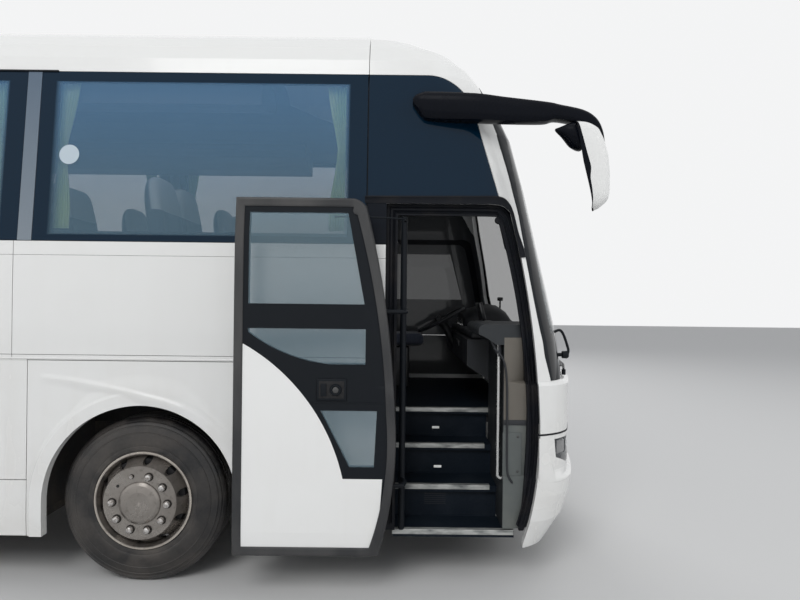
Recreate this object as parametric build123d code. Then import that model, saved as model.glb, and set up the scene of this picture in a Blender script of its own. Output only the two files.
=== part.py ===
"""A two-axle touring coach, 12.2 m long, standing on its wheels with its front door swung open.

Millimetres. +X is forward, +Y the driver's left, +Z up. The origin is on the ground under the middle of
the coach. The body's outside is one ruled loft through horizontal sections, and every outer panel, pane,
door leaf and lamp is cut from it or from its cross-section, so that they stay flush with each other.
"""

import os
from math import atan2, cos, degrees, hypot, radians, sin, sqrt

from build123d import *

# Body sections, bottom to top: height, half width, front end, rear end, front and rear corner radius.
SECTIONS = [
    (240, 1266, 5935, -6030, 330, 220),
    (410, 1275, 6049, -6075, 330, 220),
    (560, 1275, 6098, -6100, 330, 220),
    (655, 1275, 6112, -6100, 330, 220),
    (675, 1275, 6082, -6100, 330, 220),
    (1235, 1275, 6088, -6100, 330, 220),
    (1255, 1275, 6040, -6100, 330, 220),
    (1500, 1275, 6005, -6095, 330, 220),
    (1800, 1275, 5938, -6085, 330, 220),
    (2090, 1270, 5868, -6072, 330, 220),
    (2500, 1231, 5768, -6045, 330, 220),
    (2800, 1203, 5682, -6018, 330, 220),
    (2950, 1189, 5608, -5998, 330, 220),
    (3150, 1170, 5480, -5960, 330, 220),
    (3250, 1150, 5400, -5925, 340, 220),
    (3345, 1110, 5290, -5875, 360, 240),
    (3425, 1040, 5130, -5805, 380, 260),
    (3480, 940, 4800, -5710, 400, 280),
    (3515, 790, 4300, -5560, 380, 280),
    (3545, 560, 3700, -5300, 330, 260),
]
FRONT_BULGE = 3500
REAR_BULGE = 5200

WALL = 40
GLASS = 8
FIT = 0.3
PANEL_GAP = 4

# Heights of the side's seams, measured up from the ground.
SKIRT_BOTTOM = 297
HOLD_SILL = 636
FLAP_TOP = 1361
WAIST = 1398
BELT = 2001
WINDOW_BOTTOM = 2087
WINDOW_TOP = 3150
FLOOR_TOP = 1400
FLOOR_THICK = 42
BUMPER_TOP = 935

# Axles and wheels.
FRONT_AXLE = 3280
REAR_AXLE = -2820
TYRE_R = 505
TYRE_WIDTH = 280
TYRE_OUTSIDE = 1235
RIM_R = 286
RIM_FLANGE_R = 299
TWIN_SPACING = 335
BEAD = 18
SPINDLE_R = 45
AXLE_R = 64
KINGPIN_Y = 930
KINGPIN_R = 25
ARCH_R = 590
ARCH_LIP = 85
ARCH_LIP_PROUD = 8
ARCH_SEAM = 691

# Side windows: the front edge of the first pane, the panes' lengths and the dividers between them.
FIRST_PANE_FRONT = 4632
PANES = [2030, 2030, 2030, 2030, 1610]
DIVIDER = 87
FRIT = 60

# Doors: leaf outlines, and how far an open leaf stands off and back from its place.
DOOR_TOP = 2335
DOOR_BOTTOM = 276
DOOR_GAP = 8
FRONT_DOOR_REAR = 4760
MID_DOOR_TOP = BELT + 1 - DOOR_GAP
MID_DOOR_REAR = -2050
MID_DOOR_FRONT = -1300
LEAF_BACK = 870
LEAF_OUT = 200
LEAF_PIVOT_IN = 92
JAMB_DEPTH = 30
JAMB_WIDTH = 62
JAMB_BOTTOM = 340
COLUMN_R = 20
ARM_R = 13

# Entrance steps: nosing distance from the centre line and tread height, outermost first.
STEPS = [(1195, 330), (975, 540), (725, 750), (500, 960)]
STEP_REAR = 4806
STEP_FRONT = 5486
SILL_FRONT = 5560
PLATFORM_TOP = 960

# Luggage hold.
HOLD_REAR = -1240
HOLD_FRONT = 2560
HOLD_FLOOR_TOP = 400
PLATE = 30

# Chassis rails.
RAIL_Y = 400
RAIL_HALF = 40
RAIL_TOP = 990
RAIL_DEPTH = 140

OUT = "parts"
os.makedirs(OUT, exist_ok=True)


def box(x, y, z):
    """A box from three (low, high) pairs."""
    return Solid.make_box(x[1] - x[0], y[1] - y[0], z[1] - z[0], Plane((x[0], y[0], z[0])))


def path(points):
    """A closed wire through 3-D points; a pair (through, end) instead of a point is an arc."""
    edges = []
    at = points[0]
    for step in points[1:] + [points[0]]:
        if len(step) == 2:
            edges.append(Edge.make_three_point_arc(at, step[0], step[1]))
            at = step[1]
        elif hypot(*(a - b for a, b in zip(at, step))) > 1e-6:
            edges.append(Edge.make_line(at, step))
            at = step
    return Wire(edges)


def lift(points, place):
    """2-D outline points, arcs included, put into space by place(a, b)."""
    return [
        tuple(place(*q) for q in step) if isinstance(step[0], tuple) else place(*step)
        for step in points
    ]


def across(points, y0, y1):
    """A side-view outline of (x, z) points as a prism from y0 to y1."""
    wire = path(lift(points, lambda x, z: (x, y0, z)))
    return Solid.extrude(Face(wire), Vector(0, y1 - y0, 0))


def along(points, x0, x1):
    """An end-view outline of (y, z) points as a prism from x0 to x1."""
    wire = path(lift(points, lambda y, z: (x0, y, z)))
    return Solid.extrude(Face(wire), Vector(x1 - x0, 0, 0))


def rod(start, end, radius):
    """A round bar between two points."""
    way = Vector(*end) - Vector(*start)
    return Solid.make_cylinder(radius, way.length, Plane(origin=start, z_dir=way))


def tube_run(points, radius, bend):
    """A round bar along straight runs with rounded corners."""
    line = FilletPolyline(*points, radius=bend)
    first = Vector(*points[1]) - Vector(*points[0])
    disc = Plane(origin=points[0], z_dir=first) * Circle(radius)
    return sweep(disc, path=line).solid()


def solids(*shapes):
    """Every solid in the shapes given, lists included."""
    found = []
    for shape in shapes:
        if isinstance(shape, (list, tuple)):
            found += solids(*shape)
        elif shape is not None:
            found += list(shape.solids())
    return found


def both(shape):
    """A shape and its mirror image on the other side of the coach."""
    return solids(shape) + solids(mirror(shape, Plane.XZ))


def left(shape):
    """The mirror image on the driver's side."""
    return mirror(shape, Plane.XZ)


def save(name, *shapes):
    """Writes one sub-part."""
    found = solids(*shapes)
    for one in found:
        if not one.is_valid or one.volume <= 0:
            print("BAD SOLID in", name)
    export_step(Compound(children=found), f"{OUT}/{name}.step")


def section_value(z, column, rows=SECTIONS):
    """One column of the body table at height z, and its slope there."""
    for low, high in zip(rows, rows[1:]):
        if z <= high[0] or high is rows[-1]:
            slope = (high[column] - low[column]) / (high[0] - low[0])
            return low[column] + slope * (z - low[0]), slope


def half_width(z, depth=0):
    """Half width of the body at height z, a depth in from its skin."""
    return section_value(z, 1, inset_sections(depth))[0]


def screen_x(y, z):
    """Where the body's nose is at a distance from the centre line and a height."""
    return section_value(z, 2)[0] - FRONT_BULGE + sqrt(FRONT_BULGE**2 - y * y)


def inset_sections(depth):
    """The body table moved in square to its skin by depth."""
    if not depth:
        return SECTIONS
    rows = []
    for i, (z, half, front, rear, front_r, rear_r) in enumerate(SECTIONS):
        before, after = SECTIONS[max(i - 1, 0)], SECTIONS[min(i + 1, len(SECTIONS) - 1)]
        rise, run = after[0] - before[0], before[1] - after[1]
        size = hypot(rise, run)
        z_in = z - depth * max(run, 0) / size
        front_at, front_slope = section_value(z_in, 2)
        rear_at, rear_slope = section_value(z_in, 3)
        rows.append((
            z_in,
            half - depth * rise / size,
            front_at - depth * sqrt(1 + front_slope**2),
            rear_at + depth * sqrt(1 + rear_slope**2),
            front_r - depth,
            rear_r - depth,
        ))
    return [(rows[0][0] - 200, *rows[0][1:])] + rows


def end_points(half, end, bulge, corner, way):
    """Plan points of one rounded end on the left side: side tangent, corner middle, end tangent."""
    reach = sqrt((bulge - corner) ** 2 - (half - corner) ** 2)
    cx, cy = end + way * (reach - bulge), half - corner
    turn = atan2(reach, cy)
    middle = (cx + way * corner * sin(turn / 2), cy + corner * cos(turn / 2))
    tangent = (cx + way * corner * sin(turn), cy + corner * cos(turn))
    return (cx, half), middle, tangent


def body_outline(row):
    """The closed plan outline of the body for one row of the table."""
    z, half, front, rear, front_r, rear_r = row
    f_side, f_mid, f_end = end_points(half, front, FRONT_BULGE, front_r, 1)
    r_side, r_mid, r_end = end_points(half, rear, REAR_BULGE, rear_r, -1)

    def at(p, side=1):
        return (p[0], side * p[1], z)

    return Wire([
        Edge.make_three_point_arc(at(f_end, -1), (front, 0, z), at(f_end)),
        Edge.make_three_point_arc(at(f_end), at(f_mid), at(f_side)),
        Edge.make_line(at(f_side), at(r_side)),
        Edge.make_three_point_arc(at(r_side), at(r_mid), at(r_end)),
        Edge.make_three_point_arc(at(r_end), (rear, 0, z), at(r_end, -1)),
        Edge.make_three_point_arc(at(r_end, -1), at(r_mid, -1), at(r_side, -1)),
        Edge.make_line(at(r_side, -1), at(f_side, -1)),
        Edge.make_three_point_arc(at(f_side, -1), at(f_mid, -1), at(f_end, -1)),
    ])


def body_volume(depth):
    """The whole body as a solid, its skin moved in by depth."""
    return Solid.make_loft([body_outline(row) for row in inset_sections(depth)], ruled=True)


def side_strip(x0, x1, z0, z1, outer=0, inner=WALL):
    """A straight piece of the right-hand side wall, following the tumblehome."""
    def face(depth):
        rows = inset_sections(depth)
        kinks = [(-row[1], row[0]) for row in rows if z0 < row[0] < z1]
        return [(-half_width(z0, depth), z0)] + kinks + [(-half_width(z1, depth), z1)]

    return along(face(outer) + face(inner)[::-1], x0, x1)


# Extents that reach past the coach, for cutting.
FAR = 9000
WIDE = (-2000, 2000)
TALL = (0, 4000)
RIGHT_HALF = (-2000, -600)
RIGHT_SKIN = (-1500, -1000)
ROOM_WIDE = (-1300, 1300)
AHEAD = 7000
BEHIND = -7000

outside = body_volume(0)
under_glass = body_volume(GLASS + FIT)
glass_inside = body_volume(GLASS)
wall_inside = body_volume(WALL)
jamb_face = body_volume(WALL + FIT)
jamb_inside = body_volume(WALL + JAMB_DEPTH)
lining = body_volume(WALL + JAMB_DEPTH + FIT)

# Front part of the body alone, which is all that the front pieces are cut from.
NOSE = 3600
nose_box = box((NOSE, AHEAD), WIDE, TALL)
nose_wall = (outside & nose_box) - wall_inside
nose_glass = (outside & nose_box) - glass_inside
tail_box = box((BEHIND, -5200), WIDE, TALL)
tail_wall = (outside & tail_box) - wall_inside
tail_glass = (outside & tail_box) - glass_inside


def door_outline(grow, front=None, bottom=None):
    """The front door leaf's side-view outline, grown all round; its front edge follows the nose's sweep."""
    top = DOOR_TOP + grow
    nose = grow if front is None else front
    low = DOOR_BOTTOM - grow if bottom is None else bottom
    return [
        (FRONT_DOOR_REAR - grow, low),
        (FRONT_DOOR_REAR - grow, top),
        (5440, top),
        ((5485 + nose, top - 18), (5512 + nose, top - 45)),
        ((5630 + nose, 1700), (5690 + nose, 1080)),
        ((5676 + nose, 640), (5598 + nose, low)),
    ]


# Mask: the white surround of the windscreen. Its rear edge runs down behind the dark corner pane.
MASK_REAR = FIRST_PANE_FRONT
corner_pane_edge = [(5000, WINDOW_TOP), ((5196, 3075), (5304, 2860)), (5452, DOOR_TOP + 12)]
corner_pane = [(MASK_REAR + PANEL_GAP, DOOR_TOP + 12), (MASK_REAR + PANEL_GAP, WINDOW_TOP)] + corner_pane_edge
corner_pane_hole = (
    [(MASK_REAR, DOOR_TOP + 8), (MASK_REAR, WINDOW_TOP + 3), (5003, WINDOW_TOP + 3)]
    + [((5199, 3078), (5308, 2861)), (5457, DOOR_TOP + 8)]
)

# Windscreen outline in front view, half of it, from the bottom centre round to the top centre.
SCREEN_BOTTOM = 1262
SCREEN_TOP = 3105
screen_half = [(1195, SCREEN_BOTTOM), (1205, 1800), (1120, 2450), (985, 3040), (900, SCREEN_TOP)]


def screen_outline(grow):
    """The windscreen's front-view outline, grown all round."""
    right = [(-y - grow, z + (grow if z == SCREEN_TOP else -grow if z == SCREEN_BOTTOM else 0))
             for y, z in screen_half]
    return right + [(-y, z) for y, z in reversed(right)]


def build_mask():
    """The white front surround: dome, screen pillars, and the panel below the screen."""
    screen_hole = along(screen_outline(3), 4900, FAR)
    screen_through = along(screen_outline(-55), 4900, FAR)
    pocket = screen_hole - under_glass
    shell = nose_wall - screen_through - pocket
    corner_pocket = across(corner_pane_hole, *RIGHT_HALF) - under_glass
    doorway = across(door_outline(DOOR_GAP), *RIGHT_HALF)
    behind = box((NOSE - 100, FRONT_DOOR_REAR), RIGHT_HALF, (0, DOOR_TOP + DOOR_GAP))
    below = box((NOSE - 100, 5598 + DOOR_GAP), RIGHT_HALF, (0, DOOR_BOTTOM))
    for side_cut in (corner_pocket, doorway, behind, below):
        shell = shell - side_cut - left(side_cut)
    return shell - box((NOSE - 100, MASK_REAR + PANEL_GAP), WIDE, TALL)


shell = build_mask()
mask_upper = shell & box((NOSE, AHEAD), WIDE, (BUMPER_TOP + PANEL_GAP / 2, 4000))
bumper = shell & box((NOSE, AHEAD), WIDE, (0, BUMPER_TOP - PANEL_GAP / 2))

# Headlamps sit in the bumper's top corners; each is a lens flush with the skin over a closed housing.
LAMP_FRONT = [(-1215, 905), (-800, 900), (-830, 760), (-1090, 735), (-1205, 790)]
lamp_hole = along(LAMP_FRONT, 5000, FAR)
headlamp = (lamp_hole & (outside & nose_box)) - wall_inside
bumper = bumper - lamp_hole - left(lamp_hole)
# The air intake, with its bars.
INTAKE = [(-520, 515), (520, 515), (470, 395), (-470, 395)]
BARS = 5
BAR_PITCH = 24
BAR_LOW = 405
BAR = 10
intake_hole = along(INTAKE, 5600, FAR)
bumper = bumper - intake_hole
intake_grille = []
for level in range(BARS):
    z = BAR_LOW + BAR_PITCH * level
    bar = box((5600, FAR), WIDE, (z, z + BAR))
    intake_grille += solids((bar & intake_hole & (outside & nose_box)) - wall_inside)

# Towing sockets: a tube on a leg under each rail's end, up against the back of the bumper's hole.
TOW_R = 24
TOW_TUBE_R = TOW_R + 14
TOW_LENGTH = 140
FRONT_TOW_Z = 620
REAR_TOW_Z = 500
RAIL_ENDS = (-5850, 5650)


def tow_reach(z, column, bulge, way):
    """Where a socket's tube ends, its rim up against the back of the bumper."""
    rim = [(RAIL_Y + TOW_TUBE_R * sin(radians(a)), z + TOW_TUBE_R * cos(radians(a))) for a in range(0, 360, 10)]
    backs = inset_sections(WALL)
    reach = [way * section_value(h, column, backs)[0] - bulge + sqrt(bulge**2 - y * y) for y, h in rim]
    return way * (min(reach) - FIT)


FRONT_TOW = (RAIL_ENDS[1], tow_reach(FRONT_TOW_Z, 2, FRONT_BULGE, 1), -RAIL_Y, FRONT_TOW_Z)
REAR_TOW = (RAIL_ENDS[0], tow_reach(REAR_TOW_Z, 3, REAR_BULGE, -1), RAIL_Y, REAR_TOW_Z)


def tow_socket(root, mouth, y, z):
    """A blind socket on its leg; it opens at the mouth."""
    way = 1 if mouth > root else -1
    leg = box(sorted((root, root - way * 60)), (y - RAIL_HALF, y + RAIL_HALF),
              (z - RAIL_HALF, RAIL_TOP - RAIL_DEPTH))
    tube = rod((root, y, z), (mouth, y, z), TOW_TUBE_R)
    return leg + (tube - rod((mouth - way * TOW_LENGTH, y, z), (mouth + way, y, z), TOW_R))


def tow_hole(root, mouth, y, z):
    """The hole in the bumper in front of a socket."""
    return rod((root, y, z), (mouth + (300 if mouth > root else -300), y, z), TOW_R + 8)


bumper = bumper - tow_hole(*FRONT_TOW)
save("front_mask", mask_upper)
save("front_bumper", bumper)
save("windscreen", along(screen_outline(0), 4900, FAR) & nose_glass)

# Roof: a crown sheet and two coves between the mask and the tail.
ROOF_REAR = -5560
CROWN_HALF = 900


def roof_strip(y0, y1):
    """A strip of the roof between two distances from the centre line, straight along the coach."""
    outer_rows = [r for r in inset_sections(0) if r[0] >= WINDOW_TOP]
    inner_rows = [r for r in inset_sections(WALL)[1:] if r[1] < half_width(WINDOW_TOP, WALL)]
    inner_low = (-half_width(WINDOW_TOP + 3, WALL), WINDOW_TOP + 3)
    outer = [(-half_width(WINDOW_TOP + 3), WINDOW_TOP + 3)] + [(-r[1], r[0]) for r in outer_rows[1:]]
    inner = [inner_low] + [(-r[1], r[0]) for r in inner_rows]
    outer.append((0, outer_rows[-1][0]))
    inner.append((0, inner_rows[-1][0]))
    half = along(outer + inner[::-1], ROOF_REAR, MASK_REAR)
    return half & box((-FAR, FAR), (-y1, -y0), (0, FAR))


cove = roof_strip(CROWN_HALF + FIT, 1300)
crown_half = roof_strip(0, CROWN_HALF)
crown = crown_half + left(crown_half)
HATCH = 720
HATCH_LAP = 60
HATCHES = (1350, -4200)
for x in HATCHES:
    opening = HATCH / 2 - HATCH_LAP
    crown = crown - box((x + HATCH_LAP, x + HATCH - HATCH_LAP), (-opening, opening), (3000, 4000))
save("roof_shell", both(cove), crown)

# Side panels. Each row: rear end, front end, bottom, top. The right side has two doors cut in it.
G = PANEL_GAP / 2
SEAM_X = 2492
LEFT_SEAM = -1674
TAIL_POST_FRONT = FIRST_PANE_FRONT - sum(PANES) - DIVIDER * (len(PANES) - 1)
TAIL_SEAM = -5560
REAR_ARCH = (REAR_AXLE - ARCH_SEAM, REAR_AXLE + ARCH_SEAM)
FRONT_ARCH = (FRONT_AXLE - ARCH_SEAM, FRONT_DOOR_REAR - DOOR_GAP)
LEFT_FRONT_ARCH = (FRONT_AXLE - ARCH_SEAM, FRONT_AXLE + ARCH_SEAM)


def upper_panels(spans):
    """Waist strip and main panel over each span of the side."""
    made = []
    for rear, front in spans:
        made.append(side_strip(rear + G, front - G, FLAP_TOP + PANEL_GAP, WAIST - 3))
        made.append(side_strip(rear + G, front - G, WAIST, BELT - 1))
    return made


def belt_strips(spans):
    """The narrow strip just under the panes."""
    return [side_strip(rear + G, front - G, BELT + 1, WINDOW_BOTTOM - 2) for rear, front in spans]


def arch_panel(rear, front, axle):
    """A lower panel with a wheel opening and its raised lip."""
    plain = side_strip(rear + G, front - G, SKIRT_BOTTOM, FLAP_TOP)
    raised = side_strip(rear + G, front - G, SKIRT_BOTTOM, FLAP_TOP, -ARCH_LIP_PROUD)
    raised = raised & across(arch_view(axle, ARCH_R + ARCH_LIP, SKIRT_BOTTOM), *RIGHT_SKIN)
    return (plain + raised) - across(arch_view(axle, ARCH_R, 0), *RIGHT_SKIN)


def arch_view(axle, radius, low):
    """The side view of a wheel opening: a half circle on two straight legs."""
    return [(axle - radius, low), (axle - radius, TYRE_R), ((axle, TYRE_R + radius), (axle + radius, TYRE_R)),
            (axle + radius, low)]


def skirts(rear, front):
    """The fixed strip below the luggage flaps."""
    return side_strip(rear + G, front - G, SKIRT_BOTTOM, HOLD_SILL - G)


RIGHT_BAYS = 3
LEFT_BAYS = 3
right_bay_rear = MID_DOOR_FRONT + DOOR_GAP + 56
bay_front = FRONT_AXLE - ARCH_SEAM
left_bay_rear = REAR_AXLE + ARCH_SEAM
mid_hole = (MID_DOOR_REAR - DOOR_GAP, MID_DOOR_FRONT + DOOR_GAP)
right_pillar = side_strip(mid_hole[1], right_bay_rear - G, SKIRT_BOTTOM, FLAP_TOP)
right_rear_post = side_strip(REAR_ARCH[1] + G, mid_hole[0], SKIRT_BOTTOM, FLAP_TOP)
tail_low = side_strip(TAIL_SEAM + G, REAR_ARCH[0] - G, SKIRT_BOTTOM, FLAP_TOP)

side_right = upper_panels([(TAIL_SEAM, MID_DOOR_REAR - DOOR_GAP), (MID_DOOR_FRONT + DOOR_GAP, SEAM_X),
                           (SEAM_X, FRONT_DOOR_REAR - DOOR_GAP)])
side_right += belt_strips([(TAIL_SEAM, SEAM_X), (SEAM_X, FRONT_DOOR_REAR - DOOR_GAP)])
tail_post = side_strip(TAIL_SEAM + G, TAIL_POST_FRONT - PANEL_GAP, WINDOW_BOTTOM + 2, WINDOW_TOP)
side_right.append(tail_post)
side_right += [arch_panel(FRONT_ARCH[0], FRONT_ARCH[1] + G, FRONT_AXLE), arch_panel(*REAR_ARCH, REAR_AXLE)]
side_right += [skirts(right_bay_rear, bay_front), right_pillar, right_rear_post, tail_low]

left_spans = [(TAIL_SEAM, LEFT_SEAM), (LEFT_SEAM, SEAM_X), (SEAM_X, MASK_REAR)]
side_left = [left(s) for s in upper_panels(left_spans) + belt_strips(left_spans) + [tail_post]]
side_left += [left(arch_panel(*LEFT_FRONT_ARCH, FRONT_AXLE)), left(arch_panel(*REAR_ARCH, REAR_AXLE))]
side_left += [left(skirts(left_bay_rear, bay_front)), left(tail_low)]
# The driver's quarter: everything between the front arch, the mask and the dark corner pane.
quarter_view = door_outline(DOOR_GAP - PANEL_GAP)
quarter = (left(across(quarter_view, *RIGHT_HALF)) & (outside & nose_box)) - wall_inside
low_quarter = quarter & box((LEFT_FRONT_ARCH[1] + G, AHEAD), (0, WIDE[1]), (SKIRT_BOTTOM, WAIST - 3))
join_strip = left(side_strip(LEFT_FRONT_ARCH[1] + G, FRONT_DOOR_REAR + 4, SKIRT_BOTTOM, WAIST - 3))


def driver_view(inset):
    """The driver's side window, moved in all round."""
    return [(4700 + inset, 1730 + inset), (4700 + inset, 2250 - inset), (5380 - inset, 2250 - inset),
            (5500 - inset, 1730 + inset)]


driver_pocket = left(across(driver_view(0), *RIGHT_HALF)) - under_glass
driver_hole = left(across(driver_view(30), *RIGHT_HALF)) + driver_pocket
up_quarter = quarter & box((MASK_REAR + G, AHEAD), (0, WIDE[1]), (WAIST, DOOR_TOP + 4))
up_strip = left(side_strip(MASK_REAR + G, FRONT_DOOR_REAR + 4, WAIST, DOOR_TOP + 4))
driver_quarter = [join_strip + low_quarter, (up_strip + up_quarter) - driver_hole]
side_left += driver_quarter

# Side panes are bonded flush; pillars and rails behind them carry the glass.
pane_spans = []
front = FIRST_PANE_FRONT - PANEL_GAP
for length in PANES:
    pane_spans.append((front - length + PANEL_GAP, front))
    front -= length + DIVIDER
GLASS_BOTTOM = WINDOW_BOTTOM + 2


def panes(spans):
    """Flush panes of the right-hand side."""
    return [side_strip(r, f, GLASS_BOTTOM, WINDOW_TOP, 0, GLASS) for r, f in spans]


def window_frames(spans):
    """Pillars, and a rail above and below, behind the panes of the right-hand side."""
    ends = (spans[-1][0], spans[0][1])
    made = [
        side_strip(*ends, GLASS_BOTTOM, GLASS_BOTTOM + FRIT, GLASS + FIT, WALL),
        side_strip(*ends, WINDOW_TOP - FRIT, WINDOW_TOP, GLASS + FIT, WALL),
    ]
    posts = [(ends[0], ends[0] + FRIT), (ends[1] - FRIT, ends[1])]
    for behind, ahead in zip(spans, spans[1:]):
        posts.append((ahead[1] - FRIT, behind[0] + FRIT))
        made.append(side_strip(ahead[1] + 3, behind[0] - 3, GLASS_BOTTOM, WINDOW_TOP, -2, GLASS))
    for rear, front in posts:
        made.append(side_strip(rear, front, GLASS_BOTTOM + FRIT, WINDOW_TOP - FRIT, GLASS + FIT, WALL))
    return made


corner_glass = across(corner_pane, *RIGHT_HALF) & nose_glass
driver_glass = left(across(driver_view(2), *RIGHT_HALF)) & nose_glass
# The black post beside the front doorway, between its jamb and the first pane.
post_span = (MASK_REAR + PANEL_GAP, FRONT_DOOR_REAR - DOOR_GAP)
door_post = side_strip(*post_span, GLASS_BOTTOM, DOOR_TOP + DOOR_GAP - G)
save("window_frames", [both(f) for f in window_frames(pane_spans)], door_post)
# Two rails along each side, behind the skin: under the panes, and where they meet the roof.
RAIL_SPAN = (TAIL_SEAM - 80, FIRST_PANE_FRONT + 88)
CANT_RAIL = (3100, 3200)
WAIST_RAIL = (MID_DOOR_TOP + 20, 2120)
body_rails = [side_strip(*RAIL_SPAN, *zs, WALL + FIT, WALL + JAMB_DEPTH) for zs in (WAIST_RAIL, CANT_RAIL)]
save("body_rails", [both(r) for r in body_rails])

# Tail: wall with the engine doorway, the rear pane and the lamps cut out, and the bumper below.
tail_cut = tail_wall & box((BEHIND, TAIL_SEAM - G), WIDE, TALL)
ENGINE_DOOR = [(-900, 640), (900, 640), (900, 1700), (-900, 1700)]
REAR_PANE = [(-930, 2130), (930, 2130), (880, 2960), (-880, 2960)]
TAIL_LAMP = [(-1190, 900), (-960, 900), (-960, 1560), (-1190, 1560)]


def grown(points, amount):
    """A four-cornered outline round zero, moved out all round."""
    mid = sum(p[1] for p in points) / len(points)
    centre = sum(p[0] for p in points) / len(points)
    return [(y + (amount if y > centre else -amount), z + (amount if z > mid else -amount)) for y, z in points]


engine_hole = along(grown(ENGINE_DOOR, 5), -FAR, -5000)
pane_pocket = along(grown(REAR_PANE, 3), -FAR, -5000) - under_glass
pane_through = along(grown(REAR_PANE, -50), -FAR, -5000)
tail_lamp_hole = along(TAIL_LAMP, -FAR, -5000)
REAR_BUMPER_TOP = 600
STRAP_Y = 300
STRAP_X = -6092
STRAP_Z = 1702.5


def hinge_strap(y, low, high):
    """One knuckle of an outside strap hinge with its plate on the skin."""
    plate = box((STRAP_X - 6, -6000), (y, y + 40), (low, high)) - outside
    pin = (STRAP_X, y, STRAP_Z), (STRAP_X, y + 40, STRAP_Z)
    return max(solids(plate + rod(*pin, 7)), key=lambda s: s.volume)


def straps(shift, low, high):
    """The knuckles of both hinges that one of the two sides carries."""
    return [hinge_strap(way * STRAP_Y + shift, low, high) for way in (-1, 1)]


tail_body = tail_cut - engine_hole - pane_pocket - pane_through - tail_lamp_hole - left(tail_lamp_hole)
tail_body = tail_body & box((BEHIND, 0), WIDE, (REAR_BUMPER_TOP + G, 4000))
for strap in straps(0, STRAP_Z, STRAP_Z + 44):
    tail_body = tail_body + strap
save("tail_body", tail_body)
rear_bumper = tail_cut & box((BEHIND, 0), WIDE, (SKIRT_BOTTOM, REAR_BUMPER_TOP - G))
save("rear_bumper", rear_bumper - tow_hole(*REAR_TOW))
PLATE_HALF = 260
front_plate = box((6060, 6125), (-PLATE_HALF, PLATE_HALF), (530, 640)) - outside
rear_plate = box((-6114, -6060), (-PLATE_HALF, PLATE_HALF), (430, 540)) - outside
save("number_plates", front_plate, rear_plate)
rear_pane = along(REAR_PANE, -FAR, -5000) & tail_glass
save("window_panes", [both(p) for p in panes(pane_spans)], both(corner_glass), driver_glass, rear_pane)
engine_door = along(ENGINE_DOOR, -FAR, -5000) & tail_wall
for strap in straps(40 + FIT, STRAP_Z - 44, STRAP_Z):
    engine_door = engine_door + strap
save("engine_door", engine_door)
tail_lamp = along(TAIL_LAMP, -FAR, -5000) & tail_wall
save("lamps", both(headlamp), both(tail_lamp))
save("front_grille", intake_grille)

# Luggage flaps: hung along their top edge.
FLAP_GAP = 6


def flap(rear, front):
    """One luggage flap of the right-hand side."""
    return side_strip(rear + FLAP_GAP / 2, front - FLAP_GAP / 2, HOLD_SILL + FLAP_GAP / 2, FLAP_TOP - 1)


HINGE_R = 2.2
HINGE_Z = FLAP_TOP + 1.5
HINGE_IN = 2.5


def flap_hinge(rear, front):
    """The hinge's barrel along a bay, under the waist strip."""
    y = -half_width(HINGE_Z) + HINGE_IN
    return rod((rear + FLAP_GAP, y, HINGE_Z), (front - FLAP_GAP, y, HINGE_Z), HINGE_R)


right_step = (bay_front - right_bay_rear) / RIGHT_BAYS
for i in range(RIGHT_BAYS):
    start = right_bay_rear + i * right_step
    save(f"flap_right_{i + 1}", flap(start, start + right_step))
left_step = (bay_front - left_bay_rear) / LEFT_BAYS
for i in range(LEFT_BAYS):
    start = left_bay_rear + i * left_step
    save(f"flap_left_{i + 1}", left(flap(start, start + left_step)))

side_right.append(flap_hinge(right_bay_rear, bay_front))
side_left.append(left(flap_hinge(left_bay_rear, bay_front)))
save("side_right", side_right)
save("side_left", side_left)

# Front door leaf, made closed in the doorway and then carried out to where it stands open.
leaf_open = Location((-LEAF_BACK, -LEAF_OUT, 0))
leaf_view = across(door_outline(0), *RIGHT_HALF)
leaf_skin = (leaf_view & outside & nose_box) - wall_inside
# The leaf's openings: the tall pane, the pane under the rail, and the small pane beside the step.
UPPER_PANE = [(4842, 1722), (4842, 2248), (5408, 2248), (5508, 1722)]
LOWER_PANE = [(4842, 1580), (5516, 1580), (5516, 1378), (5310, 1378), ((5030, 1450), (4842, 1560))]
STEP_PANE = [(5262, 1112), (5585, 1112), (5570, 790), (5430, 790)]
# The white lower panel's top edge sweeps down from the leaf's rear edge and ends level.
SWEEP = [(4700, 200), (4700, 1490), (4816, 1490), ((5160, 1200), (5392, 722)), (5900, 722), (5900, 200)]
FRAME_BAND = 62
REAR_BAND = 44
white_zone = across(door_outline(-REAR_BAND, -FRAME_BAND, 0), *RIGHT_HALF) & across(SWEEP, *RIGHT_HALF)
white_panel = leaf_skin & white_zone
dark_part = leaf_skin - white_zone


def pane_cut(points):
    """A pane's opening through the leaf."""
    return across(points, *RIGHT_HALF)


door_panes = []
for view in (UPPER_PANE, LOWER_PANE, STEP_PANE):
    dark_part = dark_part - pane_cut(view)
    door_panes += solids((pane_cut(view) & outside & nose_box) - glass_inside)
PIVOT_X = 5320
pivot_y = -(half_width(900) - LEAF_PIVOT_IN)
ARM_HEIGHTS = (640, 1680)
MID_ARM_HEIGHTS = (640, 1450)


def leaf_brackets(pivot_x, heights):
    """Lugs inside a leaf that its swing arms are pinned to."""
    made = []
    for z in heights:
        inner = half_width(z, WALL)
        lug = box((pivot_x - 22, pivot_x + 22), (-inner - 5, pivot_y + 18), (z - 40, z - 18))
        made.append(lug)
    return made


low_lug, high_lug = leaf_brackets(PIVOT_X, ARM_HEIGHTS)
white_panel = white_panel + low_lug
dark_part = dark_part + high_lug
save("front_door_frame", [s.moved(leaf_open) for s in solids(dark_part)])
save("front_door_panel", [s.moved(leaf_open) for s in solids(white_panel)])
save("front_door_glass", [s.moved(leaf_open) for s in door_panes])


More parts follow.
